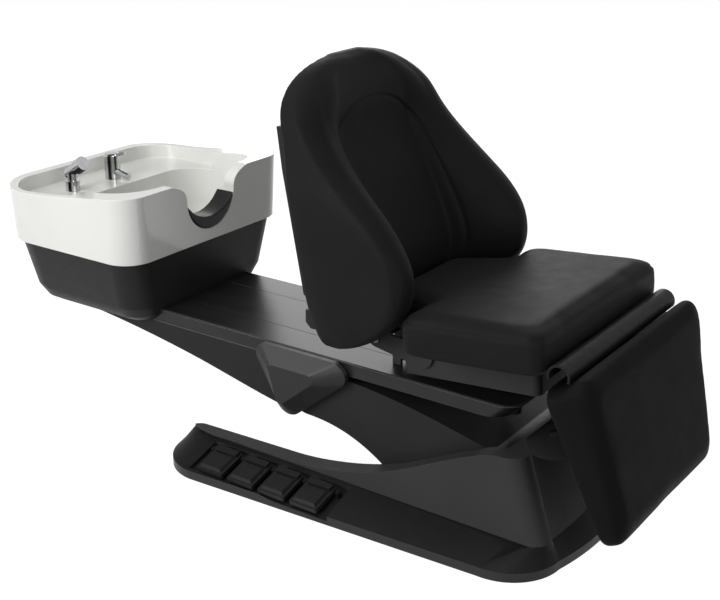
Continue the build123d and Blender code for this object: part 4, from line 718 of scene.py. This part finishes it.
def swell(piece, cap):
    """Swells a piece as cloth. A point moves along its normal, out by the cap at most."""
    shrink(piece, start_inset)
    start = [vertex.co.copy() for vertex in piece.data.vertices]
    normals = [vertex.normal.copy() for vertex in piece.data.vertices]
    add_cloth(piece)
    scene = bpy.context.scene
    for number in range(1, swell_frames + 1):
        scene.frame_set(number)
        bpy.context.view_layer.update()
    depsgraph = bpy.context.evaluated_depsgraph_get()
    moved = bpy.data.meshes.new_from_object(piece.evaluated_get(depsgraph))
    piece.modifiers.clear()
    scene.frame_set(1)
    steps = [(new.co - old).dot(normal) for old, new, normal in zip(start, moved.vertices, normals)]
    steps = evened(piece, [min(max(step, -start_inset), cap) for step in steps])
    for vertex, old, step, normal in zip(piece.data.vertices, start, steps, normals):
        vertex.co = old + normal * step
    piece.data.update()
    bpy.data.meshes.remove(moved)


def press_seam(piece, distance_of, depth):
    """Draws the surface in along a line, where distance_of gives each point's way from it."""
    mesh = piece.data
    normals = [vertex.normal.copy() for vertex in mesh.vertices]
    for vertex, normal in zip(mesh.vertices, normals):
        away = distance_of(vertex.co, normal)
        if away is not None and abs(away) < seam_reach:
            vertex.co -= normal * depth * exp(-((away / seam_width) ** 2))
    mesh.update()


# Soft pieces
def from_seam(point, normal):
    """Height above the seam round the seat's sides."""
    if abs(normal.dot(seat_up)) > level_facing:
        return None
    return (point - seat_axis).dot(seat_up) - seam_level


def make_seat_pad():
    pad = soft_copy("seat_cushion", "seat_pad", voxel_size, "leather", 1)
    swell(pad, seat_swell_cap)
    subdivide(pad)
    press_seam(pad, from_seam, seam_depth)
    stretch(pad, seat_rear, seat_fore, seat_longer)
    stretch(pad, seat_rear, seat_up, seat_taller)
    stretch(pad, middle_plane, sideways, seat_wider)
    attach(pad, "seat")
    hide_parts("seat_cushion")


def make_leg_pad():
    # The leg rest takes the dimmed copy of the leather, as painted shade
    pad = soft_copy("legrest_cushion", "legrest_pad", voxel_size, "dimmed_leg_leather", 1)
    swell(pad, leg_swell_cap)
    subdivide(pad)
    stretch(pad, leg_axis, leg_down, leg_longer)
    stretch(pad, leg_axis, leg_out, leg_thicker)
    stretch(pad, middle_plane, sideways, leg_wider)
    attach(pad, "legrest")
    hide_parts("legrest_cushion")


def from_arch(point, normal):
    """Way across the front of the back from the arched edge of its sunk middle panel."""
    if normal.x < front_facing:
        return None
    if point.z < arch_spring:
        return abs(point.y) - arch_half
    aside = point.y / arch_half
    up = (point.z - arch_spring) / arch_rise
    reach = sqrt(aside * aside + up * up)
    fall = sqrt((aside / arch_half) ** 2 + (up / arch_rise) ** 2) / reach
    return (reach - 1) / fall


def make_back_pad():
    pad = soft_copy("back_cushion", "back_pad", voxel_size, "leather", 3)
    swell(pad, back_swell_cap)
    subdivide(pad)
    press_seam(pad, from_arch, arch_depth)
    lean_back(pad)
    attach(pad, "back")
    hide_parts("back_cushion")


def make_shell():
    """The rear shell, leaned with the pad that it carries."""
    mesh = nodes["back_shell"].data.copy()
    shell = bpy.data.objects.new("rear_shell", mesh)
    bpy.context.scene.collection.objects.link(shell)
    lean_back(shell)
    finish_piece(shell, "back_shell")
    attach(shell, "back")
    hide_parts("back_shell")


def make_neck_rest():
    pad = soft_copy("neck_pad", "neck_rest", fine_voxel, "neck", 6)
    subdivide(pad)
    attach(pad, "deck")
    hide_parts("neck_pad")


set_up_view()
set_up_world()
set_up_light()
make_floor()
finish_nodes()
make_seat_pad()
make_leg_pad()
make_back_pad()
make_shell()
make_neck_rest()
